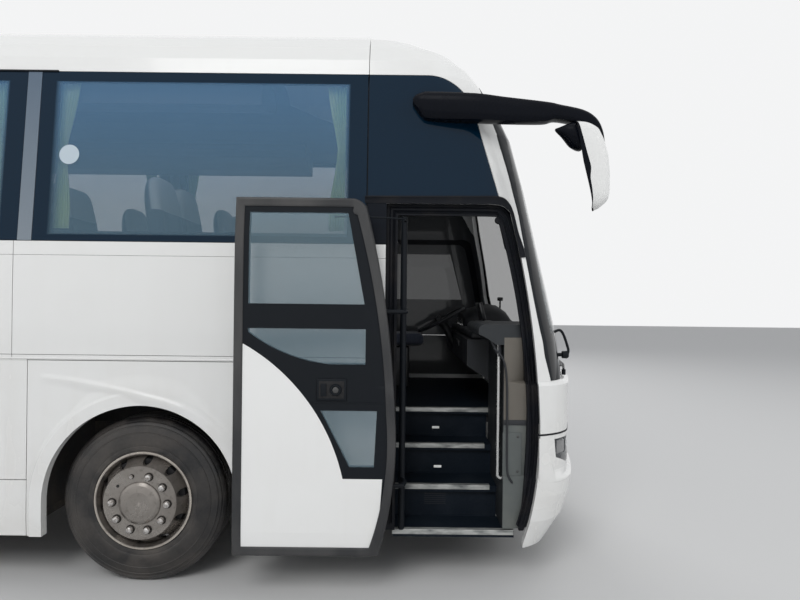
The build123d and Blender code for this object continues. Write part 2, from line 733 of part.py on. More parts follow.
def column_place(pivot_x):
    """Where a door column stands: level with the shut leaf's pivot, so that the leaf starts straight out."""
    middle = Vector(pivot_x - LEAF_BACK / 2, pivot_y - LEAF_OUT / 2)
    inward = Vector(-LEAF_OUT, LEAF_BACK) / LEAF_BACK
    return middle + inward * (LEAF_OUT / 2)


column = column_place(PIVOT_X)
open_pivot = Vector(PIVOT_X - LEAF_BACK, pivot_y - LEAF_OUT)
closed_angle = degrees(atan2(pivot_y - column.Y, PIVOT_X - column.X))
open_angle = degrees(atan2(open_pivot.Y - column.Y, open_pivot.X - column.X))
DOOR_SWING = closed_angle - open_angle


def swing_arms(column, pivot, heights, top):
    """A door column with two goosenecks that reach round the jamb to the open leaf."""
    made = rod((column.X, column.Y, STEPS[0][1] + FIT), (column.X, column.Y, top), COLUMN_R)
    for z in heights:
        route = [
            (column.X, column.Y, z),
            (column.X + 18, column.Y - 65, z),
            (column.X + 8, column.Y - 135, z),
            (pivot.X, pivot.Y, z),
        ]
        made = made + tube_run(route, ARM_R, 24)
        made = made + rod((pivot.X, pivot.Y, z - 17.7), (pivot.X, pivot.Y, z + 16), 16)
    return made


column_top = DOOR_TOP - JAMB_WIDTH - DOOR_GAP
save("front_door_arms", swing_arms(column, open_pivot, ARM_HEIGHTS, column_top))

# Middle door, shut: a plain leaf with one pane, on the same kind of column.
MID_PANE = (MID_DOOR_REAR + 90, MID_DOOR_FRONT - 90, 1500, MID_DOOR_TOP - 80)
mid_leaf = side_strip(MID_DOOR_REAR, MID_DOOR_FRONT, SKIRT_BOTTOM, MID_DOOR_TOP)
mid_leaf = mid_leaf - box(MID_PANE[:2], (-1400, -1000), MID_PANE[2:])
MID_PIVOT_X = MID_DOOR_REAR + PIVOT_X - FRONT_DOOR_REAR
mid_column = column_place(MID_PIVOT_X)
for lug in leaf_brackets(MID_PIVOT_X, MID_ARM_HEIGHTS):
    mid_leaf = mid_leaf + lug
save("mid_door_leaf", mid_leaf)
save("mid_door_glass", side_strip(*MID_PANE, FIT, GLASS))
mid_open_pivot = Vector(MID_PIVOT_X - LEAF_BACK, pivot_y - LEAF_OUT)
mid_arms = swing_arms(mid_column, mid_open_pivot, MID_ARM_HEIGHTS, MID_DOOR_TOP - JAMB_WIDTH - DOOR_GAP)
save("mid_door_arms", mid_arms.rotate(Axis((mid_column.X, mid_column.Y, 0), (0, 0, 1)), DOOR_SWING))

# Jambs: a three-sided frame inside each doorway that the leaf shuts against.
JAMB_LAP = 18
jamb_ring = across(door_outline(JAMB_LAP, None, JAMB_BOTTOM), *RIGHT_HALF)
jamb_ring = jamb_ring - across(door_outline(-JAMB_WIDTH, None, 0), *RIGHT_HALF)
jamb = ((jamb_ring & jamb_face) & nose_box) - jamb_inside
mid_jamb_span = (MID_DOOR_REAR - JAMB_LAP, MID_DOOR_FRONT + JAMB_LAP)
mid_jamb = side_strip(*mid_jamb_span, JAMB_BOTTOM, MID_DOOR_TOP + JAMB_LAP, WALL + FIT, WALL + JAMB_DEPTH)
mid_jamb = mid_jamb - box((MID_DOOR_REAR + JAMB_WIDTH, MID_DOOR_FRONT - JAMB_WIDTH), (-1400, -1000),
                          (0, MID_DOOR_TOP - JAMB_WIDTH))
save("door_jambs", jamb, mid_jamb)

# Floor, wheel housings, platform and stairs: flat plates that lie against each other.
room = body_volume(WALL + FIT)
MID_WELL = (MID_DOOR_REAR - 30, MID_DOOR_FRONT + 30)
WELL_INNER = 560
FLOOR_FRONT = 3985
floor_z = (FLOOR_TOP - FLOOR_THICK, FLOOR_TOP)
floor_plates = box((-6100, FLOOR_FRONT), ROOM_WIDE, floor_z) & room
floor_plates = floor_plates - box(MID_WELL, (-1400, -WELL_INNER), floor_z)
save("floor_deck", floor_plates)

HOUSING_IN = 560
HOUSING_TOP = 1130
HOUSING_HALF = 640
HOUSING_LOW = 420


def housing(axle):
    """A wheel housing of the right-hand side: top, inner wall, and end walls, in one piece."""
    x0, x1 = axle - HOUSING_HALF, axle + HOUSING_HALF
    block = box((x0 - PLATE, x1 + PLATE), (-1300, -HOUSING_IN + PLATE), (HOUSING_LOW, HOUSING_TOP + PLATE))
    hollow = box((x0, x1), (-1300, -HOUSING_IN), (0, HOUSING_TOP))
    low_inner = box((x0 - PLATE, x1 + PLATE), (-HOUSING_IN, 0), (0, RAIL_TOP - RAIL_DEPTH))
    return ((block - hollow) - low_inner) & room


save("wheel_housings", [both(housing(axle)) for axle in (FRONT_AXLE, REAR_AXLE)])


def stairs(span, treads, back):
    """Treads with risers under their rear edges, climbing in from the doorway."""
    made = []
    for (nosing, height), (inner, top) in zip(treads, treads[1:] + [back]):
        inner -= 30
        made.append(box(span, (-nosing, -inner), (height - FLOOR_THICK, height)))
        made.append(box(span, (-inner + FIT, -inner + 20), (height - FLOOR_THICK, top - FLOOR_THICK - FIT)))
    return made


steps = stairs((STEP_REAR, STEP_FRONT), STEPS[:3], STEPS[3])
# The lowest tread runs on under the cabinet.
sill_out, sill_top = STEPS[0]
sill = box((STEP_FRONT + FIT, SILL_FRONT), (-sill_out, 30 - STEPS[1][0]), (sill_top - FLOOR_THICK, sill_top))
steps.append(sill)
platform = box((FLOOR_FRONT + FIT, 5700), (-STEPS[3][0], 1300), (PLATFORM_TOP - FLOOR_THICK, PLATFORM_TOP)) & room
steps += solids(platform)
step_wall = box((FLOOR_FRONT - PLATE, FLOOR_FRONT), (-HOUSING_IN, 1200),
                (PLATFORM_TOP - FLOOR_THICK, floor_z[0] - FIT))
steps.append(step_wall)
AISLE_HALF = 280
AISLE_STEPS = 3
rise = (FLOOR_TOP - PLATFORM_TOP) / AISLE_STEPS
for i in range(1, AISLE_STEPS):
    front = FLOOR_FRONT + 230 * (AISLE_STEPS - i)
    z = PLATFORM_TOP + rise * (i - 1)
    steps.append(box((FLOOR_FRONT + FIT, front), (-AISLE_HALF, AISLE_HALF), (z + FIT, z + rise)))
MID_STEPS = [(1195, 330), (1030, 690), (865, 1050)]
steps += stairs(MID_WELL, MID_STEPS, (WELL_INNER + 30, FLOOR_TOP))
save("entry_steps", steps)

# The cabinet between the front doorway and the dash, and the wall behind the stairs.
CABINET_TOP = 1605
CABINET_IN = 560
CABINET_LOW = 345
LEDGE_REAR = 5330
LEDGE_LOW = 1480
LEDGE_FLAT = STEP_FRONT - 50
# The ledge reaches back over the handrail, thinner towards its rounded rear end.
LEDGE = [
    (LEDGE_REAR, CABINET_TOP - 50),
    ((LEDGE_REAR + 8, CABINET_TOP - 12), (LEDGE_REAR + 40, CABINET_TOP)),
    (5900, CABINET_TOP),
    (5900, LEDGE_LOW),
    (LEDGE_FLAT, LEDGE_LOW),
    ((LEDGE_FLAT - 60, LEDGE_LOW + 42), (LEDGE_REAR, CABINET_TOP - 62)),
]
cabinet = box((STEP_FRONT + FIT, 5900), (-1300, -CABINET_IN), (CABINET_LOW, CABINET_TOP))
cabinet = (cabinet + across(LEDGE, -1300, -CABINET_IN)) & lining
STAIR_WALL_OUT = 1160
STAIR_WALL_TOP = 1340
stair_wall = box((FRONT_DOOR_REAR + 4, STEP_REAR - FIT), (-STAIR_WALL_OUT, -STEPS[3][0] - FIT),
                 (CABINET_LOW, STAIR_WALL_TOP))
save("entry_lining", cabinet, stair_wall)

# Underframe: rails at each end, joined by the hold's floor and bulkheads.
rail_z = (RAIL_TOP - RAIL_DEPTH, RAIL_TOP)
front_rail_top = PLATFORM_TOP - FLOOR_THICK - FIT
rails = []
rail_runs = ((HOLD_FRONT + PLATE, RAIL_ENDS[1], front_rail_top), (RAIL_ENDS[0], HOLD_REAR - PLATE, RAIL_TOP))
for rear, front, top in rail_runs:
    for y in (-RAIL_Y, RAIL_Y):
        rails.append(box((rear, front), (y - RAIL_HALF, y + RAIL_HALF), (rail_z[0], top)))
CROSS = [5500, 4600, 3900, 2760, -2250, -3500, -4300]
rail_in, rail_out = RAIL_Y - RAIL_HALF, RAIL_Y + RAIL_HALF
for x in CROSS:
    rails.append(box((x - 35, x + 35), (-rail_in, rail_in), (rail_z[0] + 10, rail_z[0] + 60)))
OUTRIGGERS = [(5500, 1), (4600, 1), (-4300, 1), (-4300, -1), (-5200, 1), (-5200, -1)]
for x, way in OUTRIGGERS:
    arm = box((x - 30, x + 30), sorted((way * rail_out, way * 1300)), (rail_z[0] + 10, rail_z[0] + 60)) & room
    rails += solids(arm)
hold_z = (HOLD_FLOOR_TOP - 60, HOLD_FLOOR_TOP)
rails += solids(box((HOLD_REAR, HOLD_FRONT), ROOM_WIDE, hold_z) & room)
rails += [tow_socket(*FRONT_TOW), tow_socket(*REAR_TOW)]
for x in (HOLD_REAR - PLATE, HOLD_FRONT):
    rails += solids(box((x, x + PLATE), ROOM_WIDE, (hold_z[0], floor_z[0] - FIT)) & room)
save("underframe", rails)

# Engine: one plain block hung between the rear rails.
engine = box((-5700, -4400), (-rail_in + FIT, rail_in - FIT), (520, 1280))
save("engine_block", engine)


def around(points, x, y, z, side=1):
    """Revolves an outline of (distance along the axle outwards, radius) points about a wheel's axle."""
    wire = path(lift(points, lambda out, r: (x, y + side * out, z + r)))
    return Solid.revolve(Face(wire), 360, Axis((x, y, z), (0, 1, 0)))


def tyre(x, outside, side):
    """A tyre whose outer wall stands at a distance from the centre line."""
    w = TYRE_WIDTH
    profile = [(-BEAD, RIM_R), (0, RIM_R + 110), (-38, TYRE_R), (-w + 38, TYRE_R), (-w, RIM_R + 110),
               (-w + BEAD, RIM_R)]
    return around(profile, x, side * outside, TYRE_R, side)


save("tyre_front_right", tyre(FRONT_AXLE, TYRE_OUTSIDE, -1))
save("tyre_front_left", tyre(FRONT_AXLE, TYRE_OUTSIDE, 1))
for name, side in (("right", -1), ("left", 1)):
    twins = [tyre(REAR_AXLE, outer, side) for outer in (TYRE_OUTSIDE, TYRE_OUTSIDE - TWIN_SPACING)]
    save(f"tyres_rear_{name}", twins)


RIM_SEAT = RIM_R - FIT


def barrel(disc):
    """A rim's outline: flange, seat and flange outside, with the outline of its disc let in on the inside."""
    w = TYRE_WIDTH
    lip = BEAD - 4 - FIT
    seat = [(4, RIM_FLANGE_R - 14), (4, RIM_FLANGE_R), (-lip, RIM_FLANGE_R - 4), (-lip - 4, RIM_SEAT),
            (-w + lip + 4, RIM_SEAT), (-w + lip, RIM_FLANGE_R - 4), (-w - 4, RIM_FLANGE_R),
            (-w - 4, RIM_FLANGE_R - 14)]
    return seat + [(-w + 20, RIM_R - 14)] + disc + [(-20, RIM_R - 14)]


HAND_HOLE_R = 24


def hand_holes(made, axle, side, radius):
    """Ten round hand holes through a wheel's disc."""
    for i in range(10):
        turn = radians(36 * i + 12)
        x, z = axle + radius * cos(turn), TYRE_R + radius * sin(turn)
        made = made - rod((x, side * (TYRE_OUTSIDE - 215), z), (x, side * (TYRE_OUTSIDE + 60), z), HAND_HOLE_R)
    return made


def front_wheel(side):
    """Front wheel: its disc bulges out past the flange, with the hub's cap in the middle."""
    disc = [(-80, RIM_R - 14), (-60, 262), (32, 215), (32, 110), (-230, 110), (-230, SPINDLE_R + FIT),
            (-22 + FIT, SPINDLE_R + FIT), (-22 + FIT, 0), (72, 0), (70, 70), (62, 108), (50, 126), (46, 128),
            (46, 222), (-40, 268)]
    wheel = around(barrel(disc), FRONT_AXLE, side * TYRE_OUTSIDE, TYRE_R, side)
    return hand_holes(wheel, FRONT_AXLE, side, 249)


def rear_wheel(side):
    """Rear twin wheels, bolted back to back: both discs lie between the two rims."""
    axle_hole = AXLE_R + FIT
    disc = [(-200, RIM_R - 14), (-172, 262), (-168, 100), (-420, 100), (-420, axle_hole), (-154 + FIT, axle_hole),
            (-154 + FIT, 0), (-70, 0), (-70, 96), (-86, 110), (-148, 118), (-152, 266), (-176, RIM_R - 14)]
    outer = around(barrel(disc), REAR_AXLE, side * TYRE_OUTSIDE, TYRE_R, side)
    out = TWIN_SPACING - 172
    disc = [(-110, RIM_R - 14), (out - 22, 250), (out - 22, 101), (out - 4, 101), (out - 4, 262), (-90, RIM_R - 14)]
    inner = around(barrel(disc), REAR_AXLE, side * (TYRE_OUTSIDE - TWIN_SPACING), TYRE_R, side)
    return [hand_holes(outer, REAR_AXLE, side, 200), inner]


save("rim_front_right", front_wheel(-1))
save("rim_front_left", front_wheel(1))
save("rims_rear_right", rear_wheel(-1))
save("rims_rear_left", rear_wheel(1))

# Knuckles: a fork round the beam's end, a kingpin, and the spindle the wheel turns on.
FIST = 55


def knuckle(side):
    """One steering knuckle."""
    y = side * KINGPIN_Y
    z = TYRE_R
    made = box((FRONT_AXLE - 60, FRONT_AXLE + 60), sorted((y + side * 44, y + side * 66)), (z - 105, z + 105))
    for way in (-1, 1):
        lug_z = sorted((z + way * (FIST + FIT), z + way * (FIST + 40)))
        made = made + box((FRONT_AXLE - 38, FRONT_AXLE + 38), sorted((y - side * 38, y + side * 50)), lug_z)
    made = made + rod((FRONT_AXLE, y, z - FIST - 30), (FRONT_AXLE, y, z + FIST + 30), KINGPIN_R)
    spindle_end = side * (TYRE_OUTSIDE - 22)
    return made + rod((FRONT_AXLE, y + side * 50, z), (FRONT_AXLE, spindle_end, z), SPINDLE_R)


save("knuckle_right", knuckle(-1))
save("knuckle_left", knuckle(1))

beam = box((FRONT_AXLE - 34, FRONT_AXLE + 34), (-KINGPIN_Y, KINGPIN_Y), (TYRE_R - FIST, TYRE_R + FIST))
for side in (-1, 1):
    y = side * KINGPIN_Y
    beam = beam + rod((FRONT_AXLE, y, TYRE_R - FIST), (FRONT_AXLE, y, TYRE_R + FIST), 36)
beam = beam - box((FRONT_AXLE - 50, FRONT_AXLE + 50), (-560, 560), (TYRE_R + 10, TYRE_R + FIST + 1))
for side in (-1, 1):
    y = side * KINGPIN_Y
    beam = beam - rod((FRONT_AXLE, y, TYRE_R - 90), (FRONT_AXLE, y, TYRE_R + 90), KINGPIN_R + FIT)
    bag = rod((FRONT_AXLE, side * RAIL_Y, TYRE_R - 10), (FRONT_AXLE, side * RAIL_Y, rail_z[0] - FIT), 110)
    beam = beam + bag
save("front_axle", beam)

axle_end = TYRE_OUTSIDE - 154
axle = rod((REAR_AXLE, -axle_end, TYRE_R), (REAR_AXLE, axle_end, TYRE_R), AXLE_R)
axle = axle + Solid.make_sphere(205, Plane((REAR_AXLE, 0, TYRE_R)), angle1=-90, angle2=90, angle3=360)
for side in (-1, 1):
    for way in (-1, 1):
        x = REAR_AXLE + way * 330
        axle = axle + rod((x, side * RAIL_Y, TYRE_R + 40), (x, side * RAIL_Y, rail_z[0] - FIT), 115)
    axle = axle + box((REAR_AXLE - 400, REAR_AXLE + 400), sorted((side * (RAIL_Y - 45), side * (RAIL_Y + 45))),
                      (TYRE_R - 30, TYRE_R + 60))
save("rear_axle", axle)

# Mirrors: long arms from the dark corner panes that reach round the pillars and hang the heads ahead.
# Arm stations from root to end: middle (x, y, z), lean of the cross-section in degrees, width, height.
ARM_STATIONS = [
    ((4906, -1180, 2974), 0, 110, 34),
    ((4924, -1180, 2971), 0, 130, 84),
    ((4960, -1182, 2954), 0, 150, 144),
    ((5015, -1190, 2943), 0, 150, 174),
    ((5281, -1248, 2923), 3, 120, 166),
    ((5450, -1275, 2903), 6, 106, 151),
    ((5690, -1312, 2878), 10, 100, 124),
    ((5765, -1325, 2874), 14, 98, 94),
    ((5890, -1345, 2844), 26, 96, 88),
    ((5962, -1350, 2811), 45, 94, 64),
    ((6004, -1352, 2756), 68, 92, 36),
    ((6023, -1352, 2690), 80, 88, 22),
]
# Head stations from the bottom up: height, rear end, front end, width.
HEAD_STATIONS = [(2295, 5976, 5994, 150), (2320, 5970, 6030, 196), (2360, 5962, 6050, 216), (2480, 5935, 6057, 226),
                 (2600, 5912, 6046, 226), (2720, 5893, 6012, 220), (2780, 5884, 5964, 200), (2797, 5880, 5940, 170)]
HEAD_Y = -1367
HEAD_BACK = [(5976, 2280), ((5924, 2530), (5880, 2810)), (5600, 2810), (5600, 2280)]


def rounded(plane, width, height):
    """The outline of a rectangle with well rounded corners on a plane."""
    sketch = plane * RectangleRounded(width, height, 0.36 * min(width, height))
    return sketch.face().outer_wire()


def mirror_arm():
    """One arm, its root cut flush with the body's skin."""
    wires = []
    for middle, lean, width, height in ARM_STATIONS:
        way = (cos(radians(lean)), 0, -sin(radians(lean)))
        wires.append(rounded(Plane(origin=middle, x_dir=(0, 1, 0), z_dir=way), width, height))
    return Solid.make_loft(wires, ruled=True)


def mirror_head():
    """One head: bulged ahead, and cut off behind where the glass sits."""
    wires = []
    for z, rear, front, width in HEAD_STATIONS:
        length = 1.6 * (front - rear)
        plane = Plane(origin=(front - length / 2, HEAD_Y, z), x_dir=(1, 0, 0), z_dir=(0, 0, 1))
        wires.append(rounded(plane, length, width))
    return Solid.make_loft(wires, ruled=True) - across(HEAD_BACK, -1600, -1000)


def largest(shape):
    """The biggest solid of a shape, without the crumbs a cut leaves."""
    return max(solids(shape), key=lambda s: s.volume)


arm = mirror_arm()
save("mirror_arms", both(largest(arm - outside)))
save("mirror_heads", both(largest(mirror_head() - arm)))

# Dash across the front, with the wheel on its column.
dash = box((5330, 5990), (-560 + FIT, 1300), (1180, 1470)) & room
dash = dash - across([(5300, 1100), (5300, 1300), (5480, 1180), (5480, 1100)], *WIDE)
WHEEL_CENTRE = Vector(5225, 640, 1575)
WHEEL_TILT = 28
WHEEL_R = 225
wheel_up = Vector(-sin(radians(WHEEL_TILT)), 0, cos(radians(WHEEL_TILT)))
steer = Solid.make_torus(WHEEL_R, 15) + Solid.make_cylinder(48, 56, Plane((0, 0, -50)))
for turn in (25, 155, 270):
    spoke = box((30, WHEEL_R - 4), (-14, 14), (-8, 3)).rotate(Axis.Z, turn)
    steer = steer + spoke
wheel_place = Plane(origin=WHEEL_CENTRE, z_dir=wheel_up).location
save("steering_wheel", steer.moved(wheel_place))
column_tube = rod(tuple(WHEEL_CENTRE - wheel_up * 300), tuple(WHEEL_CENTRE - wheel_up * (50 + FIT)), 34) - dash
save("dashboard", dash, column_tube)


def seat(x, y0, y1, floor, rise, height):
    """One bench: a pedestal, a cushion and a raked back, each its own plain solid."""
    top = floor + height
    low = floor + rise
    foot = box((x - 60, x + 120), (y0 + 60, y1 - 60), (floor + FIT, low - 120 - FIT))
    cushion = across([(x - 190, low - 120), (x + 270, low - 120), (x + 280, low), (x - 150, low - 20)], y0, y1)
    back = across([(x - 190, low - 119), (x - 150, low - 19), (x - 260, top), (x - 345, top - 12)], y0, y1)
    return [foot, cushion, back]


PITCH = 800
FIRST_ROW = 3520
ROWS = 12
SEAT_IN = 290
SEAT_OUT = 1130
seats = []
for i in range(ROWS):
    x = FIRST_ROW - PITCH * i
    seats += seat(x, SEAT_IN, SEAT_OUT, FLOOR_TOP, 430, 1130)
    if not MID_WELL[0] - 340 < x < MID_WELL[1] + 340:
        seats += seat(x, -SEAT_OUT, -SEAT_IN, FLOOR_TOP, 430, 1130)
seats += seat(4780, 380, 900, PLATFORM_TOP, 470, 1230)
save("seats", seats)

# Racks over the seats, and gathered curtains at both edges of every pane.
RACK_HEIGHTS = (2975, 3180)
rack_low, rack_high = (half_width(z, WALL + JAMB_DEPTH + FIT) for z in RACK_HEIGHTS)
RACK = [(-rack_low, RACK_HEIGHTS[0]), (-rack_high, RACK_HEIGHTS[1]), (-700, 3190), (-640, 3125), (-660, 3060),
        (-900, 2990)]
save("luggage_racks", both(along(RACK, -5480, 3950)))
CURTAIN = 125
CURTAIN_FRONT_IN = 97
CURTAIN_REAR_IN = 145
CURTAIN_LOW = WAIST_RAIL[1] + 5
curtains = []
for rear, front in pane_spans:
    for edge, way in ((rear + CURTAIN_REAR_IN, 1), (front - CURTAIN_FRONT_IN, -1)):
        x0, x1 = sorted((edge, edge + way * CURTAIN))
        curtains.append(side_strip(x0, x1, CURTAIN_LOW, CANT_RAIL[0] - FIT, WALL + FIT, WALL + JAMB_DEPTH - 2))
save("curtains", [both(c) for c in curtains])

# On the roof: cooling unit and two hatches.
ROOF_TOP = SECTIONS[-1][0]
UNIT = [(-1900, ROOF_TOP + FIT), (-1780, ROOF_TOP + 165), ((-500, ROOF_TOP + 185), (600, ROOF_TOP + 165)),
        (850, ROOF_TOP + FIT)]
UNIT_HALF = 540
save("roof_unit", across(UNIT, -UNIT_HALF, UNIT_HALF))


def hatch(x):
    """A raised lid, hung along its rear edge."""
    lid = box((x, x + HATCH), (-HATCH / 2, HATCH / 2), (ROOF_TOP + FIT, ROOF_TOP + 48))
    return chamfer(lid.faces().sort_by(Axis.Z)[-1].edges(), 30)


save("roof_hatch_front", hatch(HATCHES[0]))
save("roof_hatch_rear", hatch(HATCHES[1]))

# Wipers parked along the screen's lower edge: a spindle on the mask, a bent arm and a blade on the glass.
SPINDLE_Y = 820
SPINDLE_FOOT = 1254
SPINDLE_TOP = 1290
ELBOW_Y = 600
BLADE_Z = 1330
BLADE_SPAN = (960, 525, 90)
GRIP_Y = 380
BLADE_OFF = 8
wipers = []
for side in (-1, 1):
    foot = (screen_x(SPINDLE_Y, SCREEN_BOTTOM) + 18, side * SPINDLE_Y, SPINDLE_FOOT + FIT)
    head = (foot[0], foot[1], SPINDLE_TOP)
    elbow = (screen_x(ELBOW_Y, SPINDLE_TOP + 12) + 34, side * ELBOW_Y, SPINDLE_TOP + 12)
    grip = (screen_x(GRIP_Y, BLADE_Z) + BLADE_OFF, side * GRIP_Y, BLADE_Z)
    blade_line = [(screen_x(y, BLADE_Z) + BLADE_OFF, side * y, BLADE_Z) for y in BLADE_SPAN]
    blade = Edge.make_three_point_arc(*blade_line)
    wiper = rod(foot, head, 14) + tube_run([head, elbow, grip], 8, 60)
    wipers.append(wiper + sweep(Plane(origin=blade @ 0, z_dir=blade % 0) * Circle(6), path=blade).solid())
save("wipers", wipers)

# The doorway's handrail stands between the cabinet's ledge and its lower corner.
HANDRAIL = (STEP_FRONT - 26, -1165)
HANDRAIL_R = 14
HANDRAIL_LOW = 650
rail = tube_run([(*HANDRAIL, LEDGE_LOW - FIT), (*HANDRAIL, HANDRAIL_LOW), (STEP_FRONT, HANDRAIL[1], HANDRAIL_LOW)],
                HANDRAIL_R, 22)
save("handrail", rail)
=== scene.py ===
"""A white touring coach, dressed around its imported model: paint, glass, rubber, cloth, wheels and trim."""

from math import asin, atan2, cos, hypot, pi, radians, sin, sqrt

import bmesh
import bpy
from mathutils import Matrix, Vector


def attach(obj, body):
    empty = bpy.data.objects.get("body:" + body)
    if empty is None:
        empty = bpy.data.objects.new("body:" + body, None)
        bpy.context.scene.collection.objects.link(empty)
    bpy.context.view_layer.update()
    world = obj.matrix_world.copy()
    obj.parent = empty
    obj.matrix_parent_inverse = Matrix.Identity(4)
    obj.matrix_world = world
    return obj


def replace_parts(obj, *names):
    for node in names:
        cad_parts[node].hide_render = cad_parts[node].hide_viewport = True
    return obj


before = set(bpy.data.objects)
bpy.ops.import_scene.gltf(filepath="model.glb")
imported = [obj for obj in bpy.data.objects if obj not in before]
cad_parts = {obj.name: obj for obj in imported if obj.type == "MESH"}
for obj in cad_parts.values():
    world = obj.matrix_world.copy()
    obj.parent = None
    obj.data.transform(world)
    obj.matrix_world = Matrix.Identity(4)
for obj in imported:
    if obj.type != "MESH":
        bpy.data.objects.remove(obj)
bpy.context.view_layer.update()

# Camera
# It stands square on to the coach's right side, opposite the front doorway, 1.75 m above the ground,
# and leans a little, so that level lines drop slightly to the right.


def linked(name, data):
    """A new object in the scene."""
    made = bpy.data.objects.new(name, data)
    bpy.context.scene.collection.objects.link(made)
    return made


camera_data = bpy.data.cameras.new("camera")
camera_data.sensor_width = 36
camera_data.lens = 27.05
camera = linked("camera", camera_data)
upright = Matrix.Rotation(radians(90), 4, "X")
camera.matrix_world = Matrix.Translation((4.84, -4.915, 1.75)) @ upright @ Matrix.Rotation(0.011, 4, "Z")
bpy.context.scene.camera = camera
bpy.context.scene.view_settings.view_transform = "Standard"

# Studio
# A plain pale floor, a pale world that shows white behind the coach, three large soft lamps, and a
# faint one that only glossy pieces show.


class Wire:
    """One output of a node. Sums and products on it add Math nodes."""

    def __init__(self, finish, socket):
        self.finish = finish
        self.socket = socket

    def __add__(self, other):
        return self.finish.maths("ADD", self, other)

    def __radd__(self, other):
        return self.finish.maths("ADD", other, self)

    def __sub__(self, other):
        return self.finish.maths("SUBTRACT", self, other)

    def __rsub__(self, other):
        return self.finish.maths("SUBTRACT", other, self)

    def __mul__(self, other):
        return self.finish.maths("MULTIPLY", self, other)

    def __rmul__(self, other):
        return self.finish.maths("MULTIPLY", other, self)

    def __truediv__(self, other):
        return self.finish.maths("DIVIDE", self, other)

    def __gt__(self, other):
        return self.finish.maths("GREATER_THAN", self, other)

    def __lt__(self, other):
        return self.finish.maths("LESS_THAN", self, other)

    def __abs__(self):
        return self.finish.maths("ABSOLUTE", self, 0)


class Nodes:
    """A node tree being filled, of a finish or of the world."""

    def __init__(self, tree):
        self.tree = tree

    def fill(self, node, values):
        """Sets or links a node's inputs."""
        for key, value in values.items():
            socket = node.inputs[key]
            if isinstance(value, Wire):
                self.tree.links.new(value.socket, socket)
            elif socket.type == "RGBA" and len(value) == 3:
                socket.default_value = (*value, 1)
            else:
                socket.default_value = value

    def node(self, kind, settings=None, values=None, out=0):
        """Adds any node: its settings first, then its inputs; gives one of its outputs."""
        node = self.tree.nodes.new(kind)
        for key, value in (settings or {}).items():
            setattr(node, key, value)
        self.fill(node, values or {})
        return Wire(self, node.outputs[out])

    def maths(self, kind, first, second):
        """One sum of two values."""
        return self.node("ShaderNodeMath", {"operation": kind}, {0: first, 1: second})

    def highest(self, first, *others):
        """The largest of several values."""
        for other in others:
            first = self.maths("MAXIMUM", first, other)
        return first


class Finish(Nodes):
    """One material: the shader's fixed values come in by name, what varies is linked afterwards."""

    def __init__(self, name, colour, rough, **fixed):
        self.material = bpy.data.materials.new(name)
        self.material.use_nodes = True
        super().__init__(self.material.node_tree)
        self.shader = self.tree.nodes["Principled BSDF"]
        values = {"Base Color": colour, "Roughness": rough}
        values.update({key.replace("_", " "): value for key, value in fixed.items()})
        self.fill(self.shader, values)
        self.place = self.node("ShaderNodeTexCoord", out=3)

    def axis(self, letter):
        """One coordinate of the surface at rest, in metres."""
        return self.node("ShaderNodeSeparateXYZ", None, {0: self.place}, out="XYZ".index(letter))

    def stretched(self, scale):
        """The surface's place with each direction scaled."""
        return self.node("ShaderNodeVectorMath", {"operation": "MULTIPLY"}, {0: self.place, 1: scale})

    def noise(self, scale, detail=3, place=None):
        """Cloudy noise over the surface, or over another place given."""
        values = {"Vector": place or self.place, "Scale": scale, "Detail": detail, "Roughness": 0.5}
        return self.node("ShaderNodeTexNoise", None, values)

    def between(self, value, low, high, to_low=0, to_high=1):
        """A value moved from one range to another, kept inside it."""
        values = {0: value, 1: low, 2: high, 3: to_low, 4: to_high}
        return self.node("ShaderNodeMapRange", {"clamp": True}, values)

    def mixed(self, factor, first, second):
        """Two colours mixed."""
        return self.node("ShaderNodeMix", {"data_type": "RGBA"}, {0: factor, 6: first, 7: second}, out=2)

    def set(self, **values):
        """Links what varies into the shader."""
        self.fill(self.shader, {key.replace("_", " "): value for key, value in values.items()})

    def bump(self, height, depth, strength=1):
        """Relief from a height map, depth metres deep."""
        values = {"Strength": strength, "Distance": depth, "Height": height}
        self.set(Normal=self.node("ShaderNodeBump", None, values))

    def uneven(self, scale, low, high, detail=3, top=0.7):
        """Roughness that wanders between two values from patch to patch."""
        self.set(Roughness=self.between(self.noise(scale, detail), 0.3, top, low, high))


world = bpy.data.worlds.new("studio")
world.use_nodes = True
bpy.context.scene.world = world
sky = Nodes(world.node_tree)
light_path = [sky.node("ShaderNodeLightPath", out=i) for i in (0, 3, 6)]
seen = light_path[0] + light_path[1] + light_path[2]
backdrop = sky.node("ShaderNodeMix", {"data_type": "RGBA"},
                    {0: seen, 6: (0.46, 0.47, 0.49), 7: (0.90, 0.905, 0.91)}, 2)
sky.fill(world.node_tree.nodes["Background"], {"Color": backdrop, "Strength": 1})

floor_finish = Finish("studio_floor", (0.62, 0.62, 0.615), 0.75)
floor_data = bpy.data.meshes.new("studio_floor")
floor_data.from_pydata([(-40, -30, 0), (40, -30, 0), (40, 40, 0), (-40, 40, 0)], [], [(0, 1, 2, 3)])
floor = linked("studio_floor", floor_data)
floor_data.materials.append(floor_finish.material)


def soft_lamp(name, place, aim, size, power, sheen=False):
    """A square lamp facing a point. It either lights the coach or only shows as a sheen on glossy pieces."""
    data = bpy.data.lights.new(name, "AREA")
    data.shape = "SQUARE"
    data.size = size
    data.energy = power
    lamp = linked(name, data)
    lamp.location = place
    lamp.rotation_euler = (Vector(aim) - Vector(place)).to_track_quat("-Z", "Y").to_euler()
    lamp.visible_glossy = sheen
    lamp.visible_diffuse = not sheen


